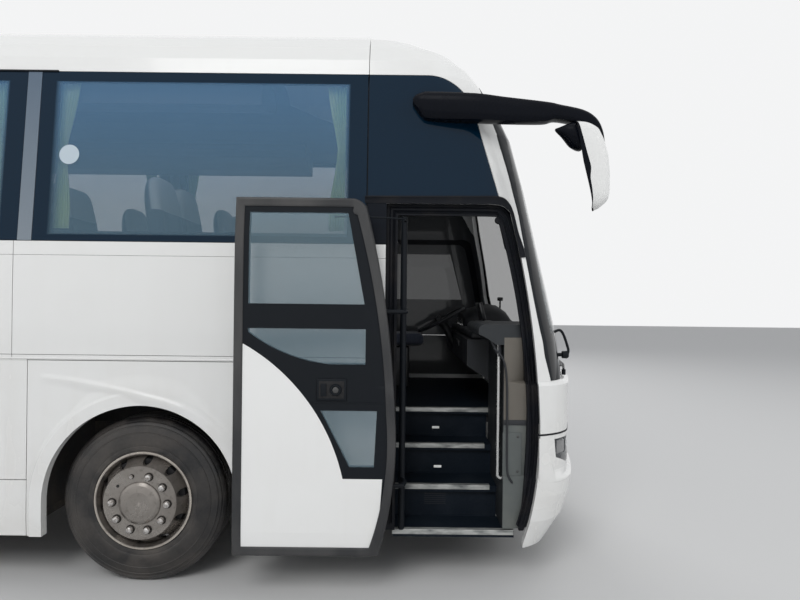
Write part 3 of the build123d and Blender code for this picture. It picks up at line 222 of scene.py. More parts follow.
soft_lamp("lamp_right", (1, -13, 11), (3, -1, 1.5), 7, 1085)
soft_lamp("lamp_sheen", (1, -11, 13.5), (3, -1, 1.5), 6, 240, True)
soft_lamp("lamp_left", (2, 13, 10), (0, 1, 1.5), 7, 900)
soft_lamp("lamp_front", (17, -5, 7), (5, 0, 1.5), 5, 380)

# Body panels
# Galvanised sheet and glass-fibre mouldings in gloss white, with faint dust that thickens low down, and
# dark on the faces that look into the saloon. The panels are the model's own solids.
WHITE = (0.79, 0.795, 0.78)
DUST = (0.52, 0.47, 0.40)
# Radii of the nose's face and of its corners, seen from above.
BULGE, CORNER = 3.5, 0.33
# How the body narrows upwards, as (low, high, by how much), and how its front corner falls back.
NARROWING = [(1.8, 2.09, 0.005), (2.09, 2.5, 0.039), (2.5, 2.8, 0.028), (2.8, 3.15, 0.033),
             (3.15, 3.25, 0.02), (3.25, 3.345, 0.04), (3.345, 3.425, 0.07), (3.425, 3.48, 0.10),
             (3.48, 3.515, 0.15), (3.515, 3.53, 0.13), (3.53, 3.545, 0.7)]
SETBACK = [(1.235, 1.255, 0.048), (1.255, 1.8, 0.102), (1.8, 2.5, 0.17), (2.5, 2.8, 0.086),
           (2.8, 3.15, 0.202), (3.15, 3.345, 0.19), (3.345, 3.545, 1.6)]


def inner_face(paint):
    """1 on the faces of the panels that look into the saloon, 0 on the outside."""
    height = paint.axis("Z")
    half, corner_x = 1.275, 5.609
    for low, high, loss in NARROWING:
        half = half - paint.between(height, low, high, 0, loss)
    for low, high, loss in SETBACK:
        corner_x = corner_x - paint.between(height, low, high, 0, loss)
    across = abs(paint.axis("Y"))
    middle = half - CORNER
    bow = paint.highest(middle * middle - across * across, 0) / (2 * BULGE)
    ahead = paint.highest(paint.axis("X") - bow - corner_x, 0)
    beside = paint.highest(across - middle, 0)
    depth = paint.maths("SQRT", ahead * ahead + beside * beside, 0)
    tail = paint.between(height, 2.5, 3.5, -5.8, -5.3)
    return (depth < 0.303) * (paint.axis("X") > tail) * (height > 1.0)


def white_paint(name, dust, tone=0.0):
    """Gloss white with road dust below the windows, its tone raised if asked."""
    paint = Finish(name, WHITE, 0.22, Coat_Weight=0.6, Coat_Roughness=0.06)
    low = paint.between(paint.axis("Z"), 0.28, 1.5, 1, 0.12)
    cloud = paint.between(paint.noise(2.3, 5), 0.42, 0.72)
    streak = paint.between(paint.noise(9, 4, paint.stretched((1, 1, 0.12))), 0.5, 0.75)
    film = (cloud * 0.6 + streak * 0.5) * low * dust
    dim, bright = ([c + tone for c in colour] for colour in ((0.78, 0.785, 0.765), (0.80, 0.80, 0.79)))
    shade = paint.mixed(paint.noise(0.7, 2), dim, bright)
    inside = inner_face(paint)
    outer_colour = paint.mixed(film, shade, DUST)
    paint.set(Base_Color=paint.mixed(inside, outer_colour, (0.035, 0.038, 0.042)),
              Roughness=0.2 + film * 0.9 + inside * 0.35)
    paint.bump(paint.noise(26, 2), 0.0004, 0.25)
    return paint


def dress(finish, *names):
    """Gives solids of the model their finish."""
    for name in names:
        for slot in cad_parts[name].material_slots:
            slot.material = finish.material


side_white = white_paint("side_white", 0.35)
dress(side_white, "side_right", "side_left", "front_mask", "front_bumper", "rear_bumper", "tail_body")
dress(side_white, "engine_door", "mid_door_leaf", "roof_shell", "roof_unit", "roof_hatch_front",
      "roof_hatch_rear")
dress(side_white, *[f"flap_{side}_{i}" for side in ("left", "right") for i in (1, 2, 3)])
dress(white_paint("leaf_white", 0.12, 0.07), "front_door_panel")

# Wheel arch flares
# Each lower panel round a wheel has a pressed lip, and a crease that starts thin high up behind the
# wheel, sweeps down over it and runs into the lip. They are one sheet over the panel, in white.
HALF_WIDTHS = [(0.24, 1.266), (0.41, 1.275), (0.56, 1.275), (1.8, 1.275), (2.09, 1.27), (2.5, 1.231),
               (2.8, 1.203), (2.95, 1.189), (3.15, 1.17), (3.25, 1.15), (3.345, 1.11), (3.425, 1.04)]
SIDES = ((-1, "right"), (1, "left"))
FRONT_AXLE, REAR_AXLE, HUB_Z = 3.28, -2.82, 0.505
# Radii of the opening's edge and of the lip's outside, and how far the flat between them stands off.
ARCH, LIP, LIP_BAND = 0.5893, 0.675, 0.0085
# The crease's line behind and over the wheel: distance along from the hub, height.
CREASE = [(-0.66, 1.278), (-0.40, 1.25), (-0.086, 1.196), (0.144, 1.140), (0.2525, 1.103)]


def side_y(z, out=0):
    """Distance of the right-hand skin from the centre line at a height, with a piece's own stand-off."""
    for (low, a), (high, b) in zip(HALF_WIDTHS, HALF_WIDTHS[1:]):
        if z <= high:
            return a + (b - a) * (z - low) / (high - low) + out
    return HALF_WIDTHS[-1][1] + out


def smooth(value, low, high):
    """A soft step from 0 at low to 1 at high."""
    t = min(max((value - low) / (high - low), 0), 1)
    return t * t * (3 - 2 * t)


def flare_height(dx, z):
    """How far the lip and the crease stand off the panel at a distance along from the hub."""
    legs = z < HUB_Z
    r = abs(dx) if legs else hypot(dx, z - HUB_Z)
    turn = pi if legs and dx < 0 else 0 if legs else atan2(z - HUB_Z, dx)
    left_lip = 0.020 * (1 - smooth(r, LIP - 0.013, LIP + 0.004)) * smooth(turn, radians(72), radians(118))
    edge = 0.66 + 0.015 * smooth(radians(60) - turn, 0, radians(50))
    ahead = 1 - smooth(turn, radians(62), radians(84))
    right_lip = 0.019 * (1 - smooth(r, edge - 0.026, edge + 0.006)) * ahead
    crease = 0
    if CREASE[0][0] <= dx <= CREASE[-1][0] + 0.06:
        for (xa, za), (xb, zb) in zip(CREASE, CREASE[1:]):
            if dx <= xb or xb == CREASE[-1][0]:
                line = za + (zb - za) * (dx - xa) / (xb - xa)
                break
        along = smooth(dx, CREASE[0][0], CREASE[-1][0])
        width = 0.006 + 0.028 * along
        rise = smooth(line - z, -width / 2, width / 2)
        fall = 1 - smooth(line - z, width / 2, 0.05 + 0.10 * along)
        end = 1 - smooth(dx, CREASE[-1][0], CREASE[-1][0] + 0.06)
        crease = (0.005 + 0.017 * along) * smooth(dx, CREASE[0][0], CREASE[0][0] + 0.08) * rise * fall * end
    top = smooth(turn, radians(48), radians(76)) * (1 - smooth(turn, radians(104), radians(132)))
    carried = LIP_BAND * (1 - smooth(r, LIP + 0.001, LIP + 0.014 + 0.10 * top))
    return max(left_lip, right_lip, crease, carried) + 0.0006


def add_piece(name, data, finish, body, sharp):
    """A new piece of one finish, smooth but for edges sharper than an angle, that rides on a body."""
    data.shade_smooth()
    data.set_sharp_from_angle(angle=radians(sharp))
    data.materials.append(finish.material)
    piece = linked(name, data)
    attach(piece, body)
    return piece


def add_mesh(name, points, faces, finish, body, sharp=35):
    """A new piece from points and faces."""
    data = bpy.data.meshes.new(name)
    data.from_pydata(points, [], faces)
    shell = bmesh.new()
    shell.from_mesh(data)
    bmesh.ops.remove_doubles(shell, verts=shell.verts, dist=1e-6)
    bmesh.ops.recalc_face_normals(shell, faces=shell.faces)
    shell.to_mesh(data)
    shell.free()
    return add_piece(name, data, finish, body, sharp)


def grid_faces(rows, columns, ring=False):
    """Quads between rows of points, the last column joined to the first for a ring."""
    faces = []
    for i in range(rows - 1):
        for j in range(columns if ring else columns - 1):
            k = (j + 1) % columns
            faces.append((i * columns + j, i * columns + k, (i + 1) * columns + k, (i + 1) * columns + j))
    return faces


def end_faces(rows, columns):
    """The two faces that close the ends of a form made of rows."""
    return [tuple(range(columns)), tuple(range((rows - 1) * columns, rows * columns))]


def arch_flare(name, axle, rear, front, side):
    """The sheet round one wheel opening, from the opening's edge out to the panel's."""
    low, top = 0.2975, 1.3605
    turns = [pi * i / 150 for i in range(151)]
    edge = [(-ARCH, low + (HUB_Z - low) * i / 14, -1, 0) for i in range(14)]
    edge += [(-ARCH * cos(a), HUB_Z + ARCH * sin(a), -cos(a), sin(a)) for a in turns]
    edge += [(ARCH, HUB_Z - (HUB_Z - low) * i / 14, 1, 0) for i in range(1, 15)]
    rows = 46
    points = []
    for i in range(rows):
        for dx, z, wx, wz in edge:
            reach = min((rear - axle - dx) / wx if wx < 0 else 9, (front - axle - dx) / wx if wx > 0 else 9,
                        (top - z) / wz if wz > 1e-9 else 9)
            t = (max(i - 2, 0) / (rows - 3)) ** 1.25 * reach
            px, pz = dx + wx * t, z + wz * t
            out = -0.03 if i == 0 else flare_height(px, pz) - (0.004 if i == 1 else 0)
            points.append((axle + px, side * side_y(pz, out), pz))
    return add_mesh(name, points, grid_faces(rows, len(edge)), side_white, "root", 60)


for side, name in SIDES:
    arch_flare(f"front_arch_flare_{name}", FRONT_AXLE, 2.591, 4.75 if side < 0 else 3.969, side)
    arch_flare(f"rear_arch_flare_{name}", REAR_AXLE, -3.509, -2.131, side)

# Waist moulding
# A thin half-round rib pressed into the narrow strip between the flaps and the main panels.
RIB_Z = 1.374
RIB_HALF = 0.006
for side, name in SIDES:
    spans = [(-5.55, -2.062), (-1.288, 4.745)] if side < 0 else [(-5.55, 4.62)]
    for number, (rear, front) in enumerate(spans):
        section = [(0.0004, -RIB_HALF), (0.003, -0.0045), (0.0042, 0), (0.003, 0.0045), (0.0004, RIB_HALF)]
        points = [(x, side * side_y(RIB_Z + dz, out), RIB_Z + dz)
                  for x in (rear, front) for out, dz in section]
        add_mesh(f"waist_rib_{name}_{number}", points, grid_faces(2, len(section)), side_white, "root", 60)

# Chassis, axles and springs
# Welded steel rails, a forged front beam and a cast rear axle, all in old black paint under a film of
# grey-brown road dirt. The air springs between them are dulled by the same dirt.


def dirty_metal(name, paint_colour, dirt_colour, amount):
    """Old matt paint with dirt that gathers in clouds."""
    metal = Finish(name, paint_colour, 0.6)
    cloud = metal.between(metal.noise(6, 6), 0.38, 0.66) * amount
    spots = metal.between(metal.noise(45, 3), 0.58, 0.72) * amount * 0.5
    metal.set(Base_Color=metal.mixed(cloud + spots, paint_colour, dirt_colour), Roughness=0.5 + cloud * 0.4)
    metal.bump(metal.noise(70, 3), 0.0008, 0.5)
    return metal


chassis_black = dirty_metal("chassis_black", (0.03, 0.03, 0.031), (0.16, 0.135, 0.11), 0.7)
dress(chassis_black, "underframe", "body_rails", "front_axle", "rear_axle", "knuckle_left", "knuckle_right")
dress(dirty_metal("engine_grime", (0.05, 0.05, 0.052), (0.13, 0.10, 0.075), 0.9), "engine_block")
dress(dirty_metal("housing_black", (0.02, 0.02, 0.021), (0.11, 0.095, 0.08), 0.6), "wheel_housings")

# Floor and steps
# Plywood floors under grey-blue ribbed flooring. The steps have the same covering on treads and
# risers, with a pale aluminium nosing on each edge, two small step lamps, and a speaker grille low down.
flooring = Finish("ribbed_flooring", (0.008, 0.013, 0.020), 0.6, Specular_IOR_Level=0.15)
speckle = flooring.between(flooring.noise(420, 2), 0.52, 0.62)
scuff = flooring.between(flooring.noise(5, 5), 0.5, 0.75)
flooring.set(Base_Color=flooring.mixed(speckle * 0.4 + scuff * 0.2, (0.004, 0.008, 0.014),
                                       (0.035, 0.042, 0.052)))
ribs = flooring.node("ShaderNodeTexWave", {"bands_direction": "Y", "wave_profile": "SIN"},
                     {"Vector": flooring.place, "Scale": 45, "Distortion": 0})
flooring.bump(ribs, 0.0006, 0.6)
dress(flooring, "floor_deck", "entry_steps")

aluminium = Finish("nosing_aluminium", (0.45, 0.46, 0.45), 0.42, Metallic=0.5)
wear = aluminium.between(aluminium.noise(30, 4, aluminium.stretched((0.3, 1, 1))), 0.4, 0.7)
aluminium.set(Base_Color=aluminium.mixed(wear, (0.50, 0.51, 0.49), (0.16, 0.17, 0.17)),
              Roughness=0.3 + wear * 0.3)
NOSINGS = [(1.195, 0.330, 4.806, 5.558), (0.975, 0.540, 4.806, 5.440), (0.725, 0.750, 4.806, 5.440),
           (0.500, 0.960, 4.806, 5.56), (1.195, 0.330, -2.08, -1.27), (1.03, 0.69, -2.08, -1.27),
           (0.865, 1.05, -2.08, -1.27)]


def run_profile(name, section, start, end, finish, body, place):
    """A straight strip: a section's points carried from start to end by place(along, a, b)."""
    points = [place(along, a, b) for along in (start, end) for a, b in section]
    faces = grid_faces(2, len(section), True) + end_faces(2, len(section))
    return add_mesh(name, points, faces, finish, body)


for number, (nose, height, rear, front) in enumerate(NOSINGS):
    ribbed = [(-0.0035, -0.026), (-0.0035, 0.001), (-0.0015, 0.0035), (0.008, 0.0035), (0.010, 0.0025),
              (0.016, 0.0035), (0.018, 0.0025), (0.024, 0.0035), (0.034, 0.0032), (0.034, 0.0005),
              (-0.0005, 0.0005), (-0.0005, -0.026)]
    run_profile(f"step_nosing_{number}", ribbed, rear + 0.001, front - 0.001, aluminium, "root",
                lambda x, a, b, n=nose, h=height: (x, -n + a, h + b))

lamp_white = Finish("step_lamp_lens", (0.85, 0.86, 0.84), 0.25, Coat_Weight=0.5)
grille_black = Finish("speaker_black", (0.012, 0.013, 0.014), 0.5)


def cushioned_block(name, low, high, bevel, finish, body, turn=None):
    """A box with rounded edges, turned about its middle if asked."""
    shell = bmesh.new()
    bmesh.ops.create_cube(shell, size=1)
    middle = (Vector(low) + Vector(high)) / 2
    size = Vector(high) - Vector(low)
    shell.transform(Matrix.Diagonal((*size, 1)))
    bmesh.ops.bevel(shell, geom=shell.edges[:] + shell.verts[:], offset=bevel, segments=3, profile=0.5,
                    affect="EDGES")
    shell.transform(Matrix.Translation(middle) @ (turn or Matrix.Identity(4)))
    data = bpy.data.meshes.new(name)
    shell.to_mesh(data)
    shell.free()
    return add_piece(name, data, finish, body, 40)


for number, (y, z) in enumerate(((-0.6945, 0.86), (-0.944, 0.655))):
    cushioned_block(f"step_lamp_{number}", (5.075, y - 0.005, z - 0.008), (5.125, y + 0.001, z + 0.008),
                    0.002, lamp_white, "root")


def disc_points(centre, radius, count, place):
    """Points round a circle, put into space by place(a, b)."""
    turns = [2 * pi * i / count for i in range(count)]
    return [place(centre[0] + radius * cos(a), centre[1] + radius * sin(a)) for a in turns]


points, faces = [], []
for row in range(6):
    for column in range(11):
        faces.append(tuple(range(len(points), len(points) + 8)))
        points += disc_points((5.02 + column * 0.013, 0.41 + row * 0.013), 0.0036, 8,
                              lambda u, v: (u, -0.9456, v))
add_mesh("speaker_holes", points, faces, grille_black, "root")

# Window glass
# Each side pane is one bonded sheet of blue-grey tinted safety glass. Its border is printed black from
# inside and fades out inwards. The corner panes are black right across, and the driver's side window
# below the left one is tinted darker than the others.
PANE_FRONT, PANE_STEP = 4.628, 2.117


def from_pane_front(finish):
    """How far behind its pane's front a point lies; the side panes repeat at a fixed step."""
    return finish.maths("FRACT", (PANE_FRONT - finish.axis("X")) / PANE_STEP, 0) * PANE_STEP


glass = Finish("tinted_pane", (0.10, 0.20, 0.30), 0.02, IOR=1.5, Specular_IOR_Level=0.20)
along, across, height = (glass.axis(letter) for letter in "XYZ")
from_front = from_pane_front(glass)
side_border = glass.highest(
    glass.between(from_front, 0.108, 0.138, 1, 0), glass.between(from_front, 1.89, 1.94),
    glass.between(height, 3.078, 3.09), glass.between(height, 2.125, 2.14, 1, 0),
    glass.between(along, -5.36, -5.34, 1, 0))
on_side = (along > -5.7) * (along < 4.632)
corner_pane = (along > 4.632) * (height > 2.3)
tail_border = glass.highest(glass.between(abs(across), 0.85, 0.865), glass.between(height, 2.19, 2.175),
                            glass.between(height, 2.90, 2.915)) * (along < -5.7)
border = glass.highest(side_border * on_side, corner_pane, tail_border)
# Each side pane is painted lighter and bluer towards its top, a painted reflection of the sky over its own
# blue-grey colour.
tint_and_sky_reflection = glass.mixed(glass.between(height, 2.3, 3.0), (0.125, 0.215, 0.285), (0.130, 0.270, 0.445))
by_driver = (along > 4.0) * (height < 2.3) * (across > 0)
tint_and_sky_reflection = glass.mixed(by_driver, tint_and_sky_reflection, (0.020, 0.028, 0.032))
glass.set(Base_Color=glass.mixed(border, tint_and_sky_reflection, (0.001, 0.014, 0.032)),
          Alpha=0.40 + border * 0.60 + by_driver * 0.34)
dress(glass, "window_panes")

# Dark frames behind the glass. The posts between the side panes are glossy dark; they are painted a lighter
# blue-grey that darkens upwards, a painted sheen.
frame_black = Finish("frame_black", (0.008, 0.010, 0.013), 0.35, Specular_IOR_Level=0.16)
frame_black.uneven(18, 0.28, 0.5, 4)
frame_black.bump(frame_black.noise(300, 2), 0.0002, 0.4)
divider_grey = Finish("divider_grey", (0.004, 0.006, 0.010), 0.4, Specular_IOR_Level=0.14)
post = (from_pane_front(divider_grey) > 2.02) * (divider_grey.axis("X") < 4.3)
sheen_fade_upwards = divider_grey.between(divider_grey.axis("Z"), 2.1, 3.1)
post_painted_sheen = divider_grey.mixed(sheen_fade_upwards, (0.215, 0.250, 0.285), (0.120, 0.160, 0.210))
divider_grey.set(Base_Color=divider_grey.mixed(post, (0.004, 0.006, 0.010), post_painted_sheen))
dress(divider_grey, "window_frames")

# A rubber bead backs the seam between the first pane and the dark corner pane.
for side, name in SIDES:
    points = [(x, side * side_y(z, depth), z) for z in [2.15 + row * 0.05 for row in range(20)]
              for x, depth in ((4.6285, -0.010), (4.6300, -0.008), (4.6400, -0.008), (4.6500, -0.010))]
    add_mesh(f"pane_bead_{name}", points, grid_faces(20, 4), frame_black, "root", 30)

# A pale disc is stuck on the first pane, and a black rain strip runs over the panes behind it.
sticker = Finish("sticker_white", (0.48, 0.56, 0.62), 0.5)
sticker.uneven(60, 0.4, 0.6)
add_mesh("window_disc", disc_points((2.797, 2.623), 0.061, 48, lambda u, v: (u, -side_y(v, 0.0006), v)),
         [tuple(range(48))], sticker, "root")
for side, name in SIDES:
    strip = [(0, 0), (0.008, 0.001), (0.010, 0.006), (0.008, 0.012), (0, 0.013)]
    run_profile(f"rain_strip_{name}", strip, -5.55, 2.70, frame_black, "root",
                lambda x, a, b, s=side: (x, s * side_y(3.146 + b, a - 0.0005), 3.146 + b))

# Curtains
# Pale green pleated cloth, a narrow one at each end of every side pane: pinched into fingers at the
# top rail, gathered by a tie, and loose below it.
cloth = Finish("curtain_cloth", (0.30, 0.45, 0.30), 0.85, Sheen_Weight=0.4, Sheen_Roughness=0.5)
fold_shade = cloth.between(cloth.noise(14, 3, cloth.stretched((1, 1, 0.15))), 0.35, 0.7)
weave = cloth.noise(900, 1) + cloth.noise(300, 1, cloth.stretched((1, 1, 4)))
cloth.set(Base_Color=cloth.mixed(fold_shade, (0.62, 0.80, 0.36), (0.88, 0.97, 0.66)))
cloth.bump(weave, 0.0003, 0.5)
PANE_SPANS = [(2.602, 4.628), (0.485, 2.511), (-1.632, 0.394), (-3.749, -1.723), (-5.446, -3.84)]
CURTAIN_TOP, CURTAIN_TIE, CURTAIN_LOW = 3.095, 2.68, 2.17
PLEATS = 6


def curtain(name, edge, way, side, phase):
    """One gathered curtain that hangs from its pane's edge towards the middle of the pane."""
    columns, rows = 73, 34
    points = []
    for i in range(rows):
        z = CURTAIN_TOP - (CURTAIN_TOP - CURTAIN_LOW) * i / (rows - 1)
        if z > CURTAIN_TIE:
            width = 0.052 + 0.063 * smooth(z, CURTAIN_TIE, CURTAIN_TOP) ** 0.8
        else:
            width = 0.052 + 0.045 * smooth(CURTAIN_TIE - z, 0, 0.42)
        pull = 0.5 * (1 - smooth(abs(z - CURTAIN_TIE), 0, 0.05))
        for j in range(columns):
            u = j / (columns - 1)
            wave = sin(2 * pi * PLEATS * u + phase + 0.25 * sin(3 * z + phase))
            depth = 0.0105 * (1 - pull) * wave + 0.0015 * sin(11 * u + 9 * z + phase)
            dip = 0.006 * abs(sin(pi * PLEATS * u)) if i == 0 else 0
            x = edge + way * (0.005 + width * u + 0.004 * sin(2 * pi * PLEATS * u + phase + 1.6) * (1 - pull))
            points.append((x, side * side_y(z, -0.054 + depth), z - dip))
    piece = add_mesh(name, points, grid_faces(rows, columns), cloth, "root", 180)
    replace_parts(piece, "curtains")


for side, side_name in SIDES:
    for number, (rear, front) in enumerate(PANE_SPANS):
        curtain(f"curtain_{side_name}_{number}_front", front - 0.128, -1, side, number * 1.3)
        curtain(f"curtain_{side_name}_{number}_rear", rear + 0.092, 1, side, number * 0.9 + 2)

# Seats
# Twin reclining seats on steel legs: a crowned cushion and a tall back with side bolsters in dark
# blue-grey cloth, and a white washable cover sewn over each head end.
seat_cloth = Finish("seat_cloth", (0.045, 0.055, 0.08), 0.9, Sheen_Weight=0.35, Sheen_Roughness=0.4)
head_end = seat_cloth.between(seat_cloth.axis("Z"), 0.905, 0.91)
front_face = seat_cloth.between(seat_cloth.axis("X") + seat_cloth.axis("Z") * 0.18, -0.10, -0.085)
cover = head_end * front_face
threads = seat_cloth.noise(500, 2) + seat_cloth.noise(160, 2, seat_cloth.stretched((1, 6, 1)))
fleck = seat_cloth.between(seat_cloth.noise(220, 2), 0.5, 0.65)
ground = seat_cloth.mixed(fleck, (0.035, 0.043, 0.065), (0.08, 0.09, 0.12))
seat_cloth.set(Base_Color=seat_cloth.mixed(cover, ground, (0.62, 0.66, 0.68)))
seat_cloth.bump(threads, 0.0008, 0.5)
SEAT_WIDTH = 0.415


def rounded_body(stations, around_count, exponent):
    """Points and faces of a closed form through stations, each a centre and two half axes."""
    points = []
    for centre, first, second in stations:
        for j in range(around_count):
            a = 2 * pi * j / around_count
            c, s = cos(a), sin(a)
            u = abs(c) ** (2 / exponent) * (1 if c >= 0 else -1)
            v = abs(s) ** (2 / exponent) * (1 if s >= 0 else -1)
            points.append(tuple(Vector(centre) + Vector(first) * u + Vector(second) * v))
    return points, grid_faces(len(stations), around_count, True) + end_faces(len(stations), around_count)


def merged(parts):
    """Several point and face lists as one."""
    points, faces = [], []
    for more_points, more_faces in parts:
        offset = len(points)
        points += more_points
        faces += [tuple(i + offset for i in face) for face in more_faces]
    return points, faces


def seat_back(y):
    """One raked back, thicker at its sides, its head end rounded and leaning forward a little."""
    levels = [(0, 0.80, 0.55), (0.01, 0.90, 0.8), (0.05, 0.96, 1), (0.2, 1, 1.05), (0.35, 1, 1),
              (0.5, 1, 0.95), (0.62, 0.99, 0.92), (0.74, 0.96, 0.95), (0.84, 0.92, 1.05), (0.92, 0.85, 1),
              (0.97, 0.74, 0.8), (0.995, 0.58, 0.5), (1, 0.42, 0.25)]
    points, faces = rounded_body(
        [((-0.175 - 0.125 * t + 0.02 * smooth(t, 0.75, 1), y, 0.33 + 0.80 * t),
          (0, SEAT_WIDTH / 2 * w, 0), (0.058 * d, 0, 0.010 * d)) for t, w, d in levels], 40, 3.2)
    shaped = []
    for x, py, z in points:
        across_seat = (py - y) / (SEAT_WIDTH / 2)
        forward = x - (-0.175 - 0.125 * (z - 0.33) / 0.8)
        bolster = 0.022 * smooth(abs(across_seat), 0.55, 0.85) * smooth(forward, -0.01, 0.03)
        hollow = 0.010 * (1 - smooth(abs(across_seat), 0.3, 0.6)) * smooth(forward, 0, 0.03)
        x += bolster * (1 - smooth(z, 0.95, 1.05)) - hollow * (1 - smooth(z, 0.85, 0.95))
        shaped.append((x, py, z))
    return shaped, faces


def seat_cushion(y):
    """One crowned cushion, dished in the middle, rolled over at its front edge."""
    places = [(-0.165, 0.8, 0.45, 0), (-0.155, 0.92, 0.75, 0), (-0.12, 0.97, 0.95, 0), (0, 1, 1, 0),
              (0.12, 1, 1.02, 0.003), (0.21, 0.99, 1.05, 0.004), (0.25, 0.96, 0.95, 0.002),
              (0.272, 0.9, 0.7, 0), (0.28, 0.8, 0.4, 0)]
    points, faces = rounded_body(
        [((x, y, 0.372 + lift), (0, SEAT_WIDTH / 2 * w, 0), (0, 0, 0.060 * d))
         for x, w, d, lift in places], 40, 3.4)
    shaped = []
    for x, py, z in points:
        across_seat = abs(py - y) / (SEAT_WIDTH / 2)
        raised = 0.012 * smooth(across_seat, 0.6, 0.85) - 0.008 * (1 - smooth(across_seat, 0.2, 0.5))
        shaped.append((x, py, z + (raised if z > 0.39 else 0)))
    return shaped, faces


def evaluated(carrier):
    """The mesh that an object shows, kept without the object."""
    made = bpy.data.meshes.new_from_object(carrier.evaluated_get(bpy.context.evaluated_depsgraph_get()))
    bpy.data.objects.remove(carrier)
    return made


def bench_mesh(name, places):
    """Cushions and backs of one bench about its own foot."""
    data = bpy.data.meshes.new(name)
    points, faces = merged([part(y) for y in places for part in (seat_cushion, seat_back)])
    data.from_pydata(points, [], faces)
    shell = bmesh.new()
    shell.from_mesh(data)
    bmesh.ops.recalc_face_normals(shell, faces=shell.faces)
    shell.to_mesh(data)
    shell.free()
    data.materials.append(seat_cloth.material)
    carrier = linked("carrier", data)
    carrier.modifiers.new("round", "SUBSURF").levels = 1
    made = evaluated(carrier)
    made.shade_smooth()
    return made


def add_bench(name, data, place):
    """One bench that stands on the floor."""
    bench = linked(name, data)
    bench.location = place
    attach(bench, "root")
    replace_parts(bench, "seats")


twin = bench_mesh("twin_seat", (-0.212, 0.212))
driver = bench_mesh("driver_seat", (0,))
seat_steel = Finish("seat_steel", (0.06, 0.062, 0.066), 0.4, Metallic=0.6)
seat_steel.uneven(40, 0.32, 0.55)
ROW_STEP, DECK_Z = 0.8, 1.4
LEG = [(-0.10, 0.0005), (0.14, 0.0005), (0.12, 0.02), (0.05, 0.03), (0.04, 0.30), (-0.02, 0.30),
       (-0.03, 0.03)]
seats = [(3.52 - ROW_STEP * i, side * 0.71) for side in (1, -1) for i in range(12)]
# The middle door's stair takes the room of two benches on the right.
seats = [(x, y) for x, y in seats if y > 0 or not -2.42 < x < -0.9]
for number, (x, y) in enumerate(seats):
    add_bench(f"bench_{number:02d}", twin, (x, y, DECK_Z))
    for end in (-1, 1):
        foot = y + end * 0.22
        run_profile(f"bench_leg_{number:02d}_{end + 1}", LEG, foot - 0.015, foot + 0.015, seat_steel, "root",
                    lambda w, a, b, x=x: (x + a, w, DECK_Z + b))
add_bench("driver_bench", driver, (4.78, 0.64, 1.02))
cushioned_block("driver_pedestal", (4.70, 0.50, 0.9605), (4.93, 0.78, 1.335), 0.02, seat_steel, "root")

# Saloon trim
# Moulded racks over the seats, a grey moulded cabinet beside the doorway with a screwed access plate,
# a bent steel handrail in a dark sleeve with a cable by it, and a dark soft dash with a bent grab tube.


def moulded(name, colour, rough):
    """Moulded plastic with a fine leather-like grain and slightly uneven sheen."""
    plastic = Finish(name, colour, rough)
    patch = plastic.between(plastic.noise(7, 4), 0.35, 0.7)
    darker = tuple(0.82 * c for c in colour)
    grains = plastic.node("ShaderNodeTexVoronoi", {"feature": "DISTANCE_TO_EDGE"},
                          {0: plastic.place, "Scale": 420})
    plastic.set(Base_Color=plastic.mixed(patch, darker, colour), Roughness=rough - 0.06 + patch * 0.12)
    plastic.bump(grains, 0.0005, 0.35)
    return plastic


lining = moulded("lining_grey", (0.12, 0.115, 0.10), 0.6)
upper = lining.between(lining.axis("Z"), 0.985, 0.99)
dusty = lining.between(lining.noise(4, 5), 0.45, 0.75)
lower_tone = lining.mixed(dusty, (0.105, 0.117, 0.114), (0.145, 0.152, 0.140))
light_panel = lining.mixed(upper, lower_tone, (0.135, 0.123, 0.105))
light_zone = (lining.axis("X") > 5.4875) * (lining.axis("Z") < 1.525)
lining.set(Base_Color=lining.mixed(light_zone, (0.020, 0.023, 0.026), light_panel))
dress(lining, "entry_lining")
dress(moulded("rack_grey", (0.075, 0.08, 0.085), 0.6), "luggage_racks")
dash_dark = moulded("dash_dark", (0.022, 0.024, 0.028), 0.55)
dress(dash_dark, "dashboard", "steering_wheel")
LINING_Y = -(1.275 - 0.0703)
JOINT = [(0, 0), (-0.004, 0.001), (-0.006, 0.006), (-0.006, 0.026), (-0.004, 0.031), (0, 0.032)]
run_profile("lining_joint", JOINT, 5.488, 5.66, dash_dark, "root",
            lambda x, a, b: (x, LINING_Y + a, 0.985 + b))
cushioned_block("access_plate", (5.483, LINING_Y - 0.004, 0.675), (5.600, LINING_Y + 0.001, 0.94), 0.0015,
                moulded("plate_grey", (0.105, 0.117, 0.114), 0.5), "root")
screw_steel = Finish("screw_steel", (0.10, 0.10, 0.10), 0.35, Metallic=0.8)
screw_steel.uneven(200, 0.25, 0.5)


def lathe(name, outline, centre, side, finish, body, steps=96, axis="Y", sharp=35):
    """A form turned about an axis: outline points are (distance along the axle outwards, radius)."""
    points = []
    for i in range(steps):
        a = 2 * pi * i / steps
        for out, r in outline:
            u, v, w = r * cos(a), r * sin(a), side * out
            x, y, z = {"X": (w, u, v), "Y": (u, w, v), "Z": (u, v, w)}[axis]
            points.append((centre[0] + x, centre[1] + y, centre[2] + z))
    count = len(outline)
    faces = []
    for i in range(steps):
        k = (i + 1) % steps
        for j in range(count):
            n = (j + 1) % count
            if outline[j][1] < 1e-9 and outline[n][1] < 1e-9:
                continue
            faces.append((i * count + j, i * count + n, k * count + n, k * count + j))
    return add_mesh(name, points, faces, finish, body, sharp)


DOME = [(0, 0), (0, 0.007), (0.002, 0.007), (0.0035, 0.0055), (0.0042, 0.003), (0.0045, 0)]
for number, z in enumerate((0.70, 0.915)):
    lathe(f"plate_screw_{number}", DOME, (5.575, LINING_Y - 0.004, z), -1, screw_steel, "root", 20)

polished = Finish("polished_tube", (0.62, 0.62, 0.61), 0.18, Metallic=1.0)
polished.uneven(30, 0.12, 0.32, 4)
dress(polished, "handrail")


